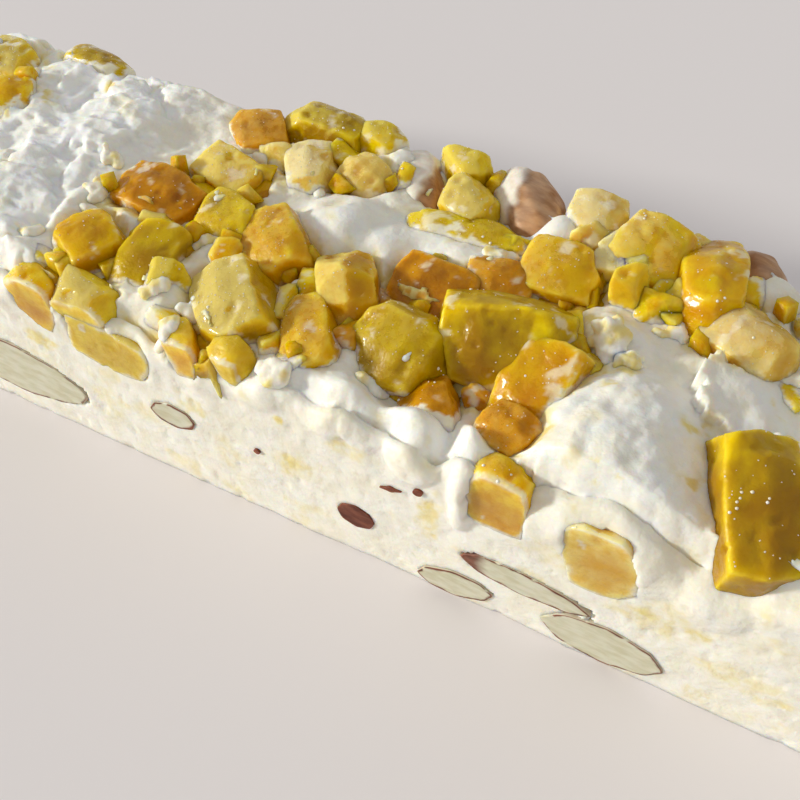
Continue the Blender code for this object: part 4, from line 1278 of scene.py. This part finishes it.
def colour_crumbs(mesh):
    """Paint crumbs in the colours of the fruit, changing every few millimetres."""
    points = points_of(mesh)
    pick = uneven(points + 0.4, 3.2 * MM, 1)
    pale = ease(uneven(points + 0.7, 2.2 * MM, 2), -0.1, 0.5)[:, None]
    families = [FRUIT_COLOURS[name] for name in ("orange", "citron", "orange", "lemon")]
    number = np.clip(((pick + 0.45) / 0.9 * 4).astype(int), 0, 3)
    body = np.array([family[0][:3] for family in families])[number]
    deep = np.array([family[1][:3] for family in families])[number]
    sugar = np.array([family[2][:3] for family in families])[number]
    paint_colour(mesh, "tone", 0.6 * body + 0.4 * deep)
    paint_colour(mesh, "deep", deep)
    paint_colour(mesh, "sugar", sugar)
    paint(mesh, "frost", 0.5 * pale[:, 0])
    paint(mesh, "clear", 0.2 - 0.2 * pale[:, 0])


colour_crumbs(crumb_mesh)
crumbs = new_object("candied_crumbs", crumb_mesh)
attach(crumbs, "root")
print("candied crumbs:", len(crumb_mesh.polygons), "faces")

# %% [markdown]
# ## Crumbly clumps of paste
#
# Where paste was pushed about with fruit it has rolled up into clumps of crumbs. Each clump is a
# heap of small balls dropped on whatever lies there, melted together by a fine voxel remesh.

# %% Clumps
CLUMPS = (                                # x, y, reach in mm and number of balls
    (-7.6, -17.0, 2.2, 14), (-7.8, -15.0, 2.0, 12), (-11.3, -13.8, 2.4, 16), (-12.7, 0.7, 1.4, 8),
    (-11.9, -5.1, 1.8, 12), (17.3, 5.6, 2.2, 18), (30.7, 0.4, 3.2, 44),
    (3.9, -17.4, 2.2, 10), (14.1, -10.2, 1.4, 8), (-26.0, -4.6, 2.0, 14), (-24.4, -7.6, 1.6, 10),
    (-20.0, -12.8, 1.6, 8), (-28.0, -12.0, 2.0, 10), (12.5, -13.5, 1.8, 10), (36.0, 4.5, 1.6, 10),
    (-6.5, 7.2, 1.6, 8), (-16.0, -2.4, 1.4, 8), (13.5, 15.0, 1.4, 6),
    (44.5, 10.5, 1.8, 10), (49.5, -3.5, 1.5, 8), (33.0, -2.5, 2.0, 12), (-28.4, 0.6, 1.8, 8),
    (-47.5, 9.0, 1.6, 8), (0.4, -7.4, 1.2, 6), (-13.4, 9.0, 1.6, 8), (20.6, -0.8, 1.0, 5))


def top_at(x, y):
    """Height of the paste or piece that lies on top at a place."""
    column = int(np.clip(round((x - low.x) / LENGTH * ALONG), 0, ALONG))
    row = int(np.clip(round((y - low.y) / WIDTH * ACROSS), 0, ACROSS))
    return max(height[column, row], seen[column, row] if piece[column, row] else 0.0)


def clump(number, x, y, reach, balls):
    """A heap of small balls as one fine mesh."""
    draw = random.Random(number + 100)
    work = bmesh.new()
    placed = []
    for _ in range(3 * balls):
        radius = draw.uniform(0.25, 0.75) * MM
        from_x, from_y = draw.choice(placed) if placed else (x * MM, y * MM)
        way = draw.uniform(0, math.tau)
        spot = Vector((from_x + radius * math.cos(way), from_y + radius * math.sin(way), 0))
        if math.hypot(spot.x / MM - x, spot.y / MM - y) > reach:
            continue
        placed.append((spot.x, spot.y))
        spot.y = max(spot.y, -side_reach + radius)
        heaped = (0.25 if reach < 3.0 else 0.7) * reach * MM * max(0.0, 1.0 - math.hypot(spot.x / MM - x, spot.y / MM - y) / reach)
        spot.z = top_at(spot.x, spot.y) + draw.random() * heaped
        made = bmesh.ops.create_icosphere(work, subdivisions=2, radius=radius, matrix=Matrix.Translation(spot))
        for vert in made["verts"]:
            vert.co += (vert.co - spot) * 0.35 * noise.noise(vert.co / (0.6 * MM))
    mesh = fine_mesh(work, "clump", 0.24 * MM, 3)
    points = points_of(mesh)
    set_points(mesh, points + normals_of(mesh) * (0.13 * MM * uneven(points, 0.9 * MM, 3))[:, None])
    return mesh


clump_meshes = [clump(number, *row) for number, row in enumerate(CLUMPS)]
starts = np.cumsum([0] + [len(mesh.vertices) for mesh in clump_meshes])
clump_points = np.concatenate([points_of(mesh) for mesh in clump_meshes])
clump_quads = np.concatenate([quads_of(mesh) + start for mesh, start in zip(clump_meshes, starts)])
joined = bpy.data.meshes.new("paste_clumps")
joined.from_pydata(clump_points.tolist(), [], clump_quads.tolist())
tint = 0.55 * ease(uneven(clump_points, 2.2 * MM, 2), -0.25, 0.45)
paint(joined, "stain", tint)
joined.materials.append(nougat_finish)
clumps = new_object("paste_clumps", joined)
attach(clumps, "root")
print(len(CLUMPS), "clumps with", len(clump_points), "points")
for mesh in clump_meshes:
    bpy.data.meshes.remove(mesh)

# %% Sugar and specks of paste on the fruit
def top_of_the_fruit():
    """The upper faces of all candied pieces as one mesh, with their frosting and painted sunlit paleness."""
    points, faces, frost, start = [], [], [], 0
    for made in fruit_pieces + [bits]:
        mesh = made.data
        points.append(points_of(mesh))
        up = normals_of(mesh)[:, 2] > 0.35
        quads = quads_of(mesh)
        faces.append(quads[up[quads].all(1)] + start)
        values = np.empty(len(mesh.vertices), np.float32)
        mesh.attributes["frost"].data.foreach_get("value", values)
        frost.append(values)
        start += len(mesh.vertices)
    joined = bpy.data.meshes.new("fruit_tops")
    joined.from_pydata(np.concatenate(points).tolist(), [], np.concatenate(faces).tolist())
    every = points_of(joined)
    paint(joined, "frost", np.clip(np.concatenate(frost) + 0.1, 0, 1))
    paint(joined, "specks", ease(uneven(every + 0.3, 3.0 * MM, 2), 0.40, 0.7))
    return joined


fruit_tops = top_of_the_fruit()
sugar_mesh = scattered(
    "sugar_crystals", fruit_tops, Mask="frost", Spacing=0.25 * MM, Density=1.6e6, Smallest=0.06 * MM,
    Largest=0.15 * MM, Lift=0.0 * MM, Seed=3, Shapes=crystals_box, Finish=sugary)
sugar = new_object("sugar_crystals", sugar_mesh)
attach(sugar, "root")
speck_mesh = scattered(
    "paste_specks", fruit_tops, Mask="specks", Spacing=0.35 * MM, Density=1.0e6, Smallest=0.12 * MM,
    Largest=0.38 * MM, Lift=-0.03 * MM, Seed=6, Shapes=grains_box, Finish=sugary)
specks = new_object("paste_specks", speck_mesh)
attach(specks, "root")
print("sugar:", len(sugar_mesh.polygons), "faces, specks:", len(speck_mesh.polygons), "faces")
for box in (chips, grains_box, crystals_box):
    for shape in list(box.objects):
        bpy.data.objects.remove(shape)
    bpy.data.collections.remove(box)

# %% [markdown]
# ## Almonds
#
# The kernels that a knife went through show as pale lenses with a thin brown line round them,
# which is their skin seen on edge, torn here and there. A lens is drawn as rings inside the
# outline of its solid's cut face, so that line stays thin and clean. The whole almonds on top
# keep their skin and are remeshed from their solids, with paste smeared over one end.

# %% Almond materials
def almond_finish(name, light, dark):
    """Kernel and skin, mixed by what is painted on the mesh."""
    recipe = Recipe(name)
    recipe.constants(Subsurface_Weight=0.6, Subsurface_Scale=0.8 * MM, Subsurface_Radius=(1.0, 0.6, 0.35),
                     Specular_IOR_Level=0.35)
    streaks = recipe.grain(1.0 * MM, 4.0, (0.35, 1.0, 1.0))
    kernel = recipe.mix(recipe.between(streaks, 0.35, 0.7), colour(214, 210, 188), colour(196, 190, 160))
    skin_colour = recipe.mix(recipe.between(streaks, 0.3, 0.7), light, dark)
    dust = recipe.mix(recipe.between(recipe.grain(0.8 * MM, 4.0), 0.3, 0.75),
                      colour(226, 214, 198), colour(240, 234, 222))
    coated = recipe.mix(recipe.attribute("powder"), skin_colour, dust)
    base = recipe.mix(recipe.attribute("skin"), kernel, coated)
    wrinkles = recipe.bump(recipe.grain(0.7 * MM, 4.0, (0.3, 1.0, 1.0)), 0.06 * MM, 0.7)
    return recipe.finish(base, recipe.between(streaks, 0.3, 0.7, 0.45, 0.65), wrinkles)


almond_cut = almond_finish("almond section", colour(128, 70, 46), colour(84, 40, 28))
almond_whole = almond_finish("almond skin", colour(194, 148, 104), colour(156, 108, 68))


# %% Almonds cut by the knife
# The outline of each cut face comes from its solid. Rings of points run from it to the middle.
PROUD = 0.07 * MM                         # a cut kernel stands this much out of the cut paste
SKIN_LINE = 0.34 * MM
KERNEL_DEEP = 0.9 * MM                    # how far its rim goes back into the paste
RING_SIZES = (1.0, 0.975, 0.95, 0.92, 0.89, 0.85, 0.8, 0.72, 0.6, 0.45, 0.3, 0.15)
OUTLINE_POINTS = 120


def even_loop(corners, count, passes):
    """Points spaced evenly along a closed outline, with its corners rounded."""
    closed = np.concatenate([corners, corners[:1]])
    run = np.concatenate([[0.0], np.cumsum(np.linalg.norm(np.diff(closed, axis=0), axis=1))])
    stops = np.linspace(0, run[-1], count, endpoint=False)
    loop = np.stack([np.interp(stops, run, column) for column in closed.T], axis=1)
    for _ in range(passes):
        loop = 0.25 * np.roll(loop, 1, 0) + 0.5 * loop + 0.25 * np.roll(loop, -1, 0)
    return loop


def cut_outline(name, axis, sign):
    """The outline of a solid's face on one side of the bar, as run and height."""
    points = points_of(frame["nodes"][name].data)
    flat = points[sign * points[:, axis] > REACH[axis] - 0.05 * MM][:, [1 - axis, 2]]
    order = convex_hull_2d(flat.tolist())
    return even_loop(flat[order], OUTLINE_POINTS, 6)


def cut_face(name, outline, axis, sign, all_skin=False):
    """A thin lens of kernel with a broken line of skin round it."""
    middle = outline.mean(axis=0)
    rim_noise = uneven(np.insert(outline, 1, 0.4, axis=1), 1.3 * MM, 2)[:, None]
    reach = np.linalg.norm(outline - middle, axis=1)[:, None]
    outline = middle + (outline - middle) * (1.0 + 0.03 * rim_noise + 0.25 * MM / reach)
    steps = [(0.97, -KERNEL_DEEP), (1.0, PROUD - 0.05 * MM)] + [(size, PROUD) for size in RING_SIZES[1:]]
    rings = [np.insert(middle + (outline - middle) * size, axis, sign * (REACH[axis] + out), axis=1)
             for size, out in steps]
    points = np.concatenate(rings)
    grid = np.arange(len(points)).reshape(len(rings), OUTLINE_POINTS)
    quads = np.stack([grid[:-1], np.roll(grid[:-1], -1, 1), np.roll(grid[1:], -1, 1), grid[1:]], axis=-1)
    mesh = bpy.data.meshes.new(name)
    mesh.from_pydata(points.tolist(), [], quads.reshape(-1, 4).tolist() + [grid[-1].tolist(), grid[0, ::-1].tolist()])
    work = bmesh.new()
    work.from_mesh(mesh)
    bmesh.ops.recalc_face_normals(work, faces=work.faces)
    work.to_mesh(mesh)
    work.free()
    gaps = points[:, None, [1 - axis, 2]] - outline[None]
    rim = np.sqrt((gaps ** 2).sum(axis=2).min(axis=1))
    width = SKIN_LINE * (1.0 + 0.7 * uneven(points, 1.4 * MM, 2))
    line = (1.0 - ease(rim, 0.5 * width, width)) * ease(uneven(points + 0.3, 1.3 * MM, 2), -0.5, -0.3)
    line[:2 * OUTLINE_POINTS] *= 0.3           # its rim in the paste is pale
    if name == "kernel_almond_05":
        from_head = points[:, 0] - outline[:, 0].min() + 0.4 * rim
        line = np.maximum(line, 0.95 * (1.0 - ease(from_head, 1.6 * MM, 3.4 * MM)))
    paint(mesh, "skin", np.ones(len(points)) if all_skin else line)
    paint(mesh, "powder", np.zeros(len(points)))
    mesh.materials.append(almond_cut)
    made = new_object(name, mesh)
    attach(made, "root")
    return made


REACH = (0.5 * LENGTH, side_reach)
CUT_ALMONDS = {"almond_01": (1, -1), "almond_02": (1, -1), "almond_03": (1, -1), "almond_04": (1, -1),
               "almond_05": (1, -1), "almond_06": (1, -1), "almond_10": (1, 1), "almond_11": (0, 1)}
for name, (axis, sign) in CUT_ALMONDS.items():
    made = cut_face("kernel_" + name, cut_outline(name, axis, sign), axis, sign, name == "almond_03")
    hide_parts(name)
SKIN_SHREDS = ((17.5, 14.5, 1.0, 0.12, 16), (20.4, 15.8, 0.3, 0.2, 30), (2.0, 11.0, 0.15, 0.08, 10))
for number, (x, z, half_x, half_z, turn) in enumerate(SKIN_SHREDS):
    angles = np.linspace(0, math.tau, OUTLINE_POINTS, endpoint=False)
    lean = math.radians(turn)
    along, up = half_x * np.cos(angles), half_z * np.sin(angles)
    shred = np.stack([x + along * math.cos(lean) - up * math.sin(lean),
                      z + along * math.sin(lean) + up * math.cos(lean)], axis=1) * MM
    cut_face(f"skin_shred_{number}", shred, 1, -1, True)
print(len(CUT_ALMONDS), "cut almonds and", len(SKIN_SHREDS), "shreds of skin")

# %% Whole almonds on top
WHITE_SIDE = {                            # paste lies on the part below this share of the length
    "almond_07": 0.72, "almond_08": 0.34, "almond_09": 0.0}


def whole_almond(name):
    """An almond with its skin on, partly under paste."""
    lowest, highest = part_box(name)
    work = solid_copy(name)
    fuller(work, SWELL)
    mesh = fine_mesh(work, name, 0.3 * MM, 10)
    points = points_of(mesh)
    wrinkled = 0.12 * MM * uneven(points * (0.5, 1, 1), 1.8 * MM, 2)
    share = (points[:, 0] - lowest.x) / (highest.x - lowest.x) + 0.12 * uneven(points + 0.1, 2.0 * MM, 2)
    coat = 1.0 - ease(share, WHITE_SIDE[name] - 0.06, WHITE_SIDE[name] + 0.06)
    points = points + normals_of(mesh) * (wrinkled + 0.3 * MM * coat)[:, None]
    set_points(mesh, points)
    paint(mesh, "skin", np.ones(len(points)))
    paint(mesh, "powder", np.maximum(coat, 0.12 * ease(uneven(points + 0.2, 2.5 * MM, 3), -0.4, 0.5)))
    mesh.materials.append(almond_whole)
    made = new_object("whole_" + name, mesh)
    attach(made, "root")
    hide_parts(name)
    return len(points)


print("whole almonds with", [whole_almond(name) for name in WHITE_SIDE], "points")

# %% [markdown]
# ## Floor and light
#
# A low warm light from the near left rakes over the top and fills the near side, and a pale cool
# sky fills the shadows. The floor is plain and pale.

# %% Floor
FLOOR_REACH = 1.5
floor_mesh = bpy.data.meshes.new("floor")
corners = [(-1, -1), (1, -1), (1, 1), (-1, 1)]
floor_mesh.from_pydata([(x * FLOOR_REACH, y * FLOOR_REACH, -INSIDE) for x, y in corners], [], [(0, 1, 2, 3)])
floor_recipe = Recipe("pale floor")
floor_recipe.constants(Base_Color=colour(237, 231, 232), Roughness=0.7, Specular_IOR_Level=0.2)
floor_mesh.materials.append(floor_recipe.material)
floor = new_object("floor", floor_mesh)

# %% Light
KEY_FROM = Vector((-0.86, -0.43, 0.29))
key = bpy.data.lights.new("key", "SUN")
key.energy = 2.9
key.angle = math.radians(7)
key.color = (1.0, 0.99, 0.90)
key_holder = bpy.data.objects.new("key", key)
bpy.context.scene.collection.objects.link(key_holder)
key_holder.rotation_euler = (-KEY_FROM).to_track_quat("-Z", "Y").to_euler()

sky = bpy.data.worlds.new("sky")
sky.use_nodes = True
background = sky.node_tree.nodes["Background"]
background.inputs["Color"].default_value = (1.0, 1.0, 1.0, 1.0)
background.inputs["Strength"].default_value = 0.49
bpy.context.scene.world = sky
bpy.context.scene.view_settings.view_transform = "Standard"
print("key light from", [round(value, 2) for value in KEY_FROM.normalized()])
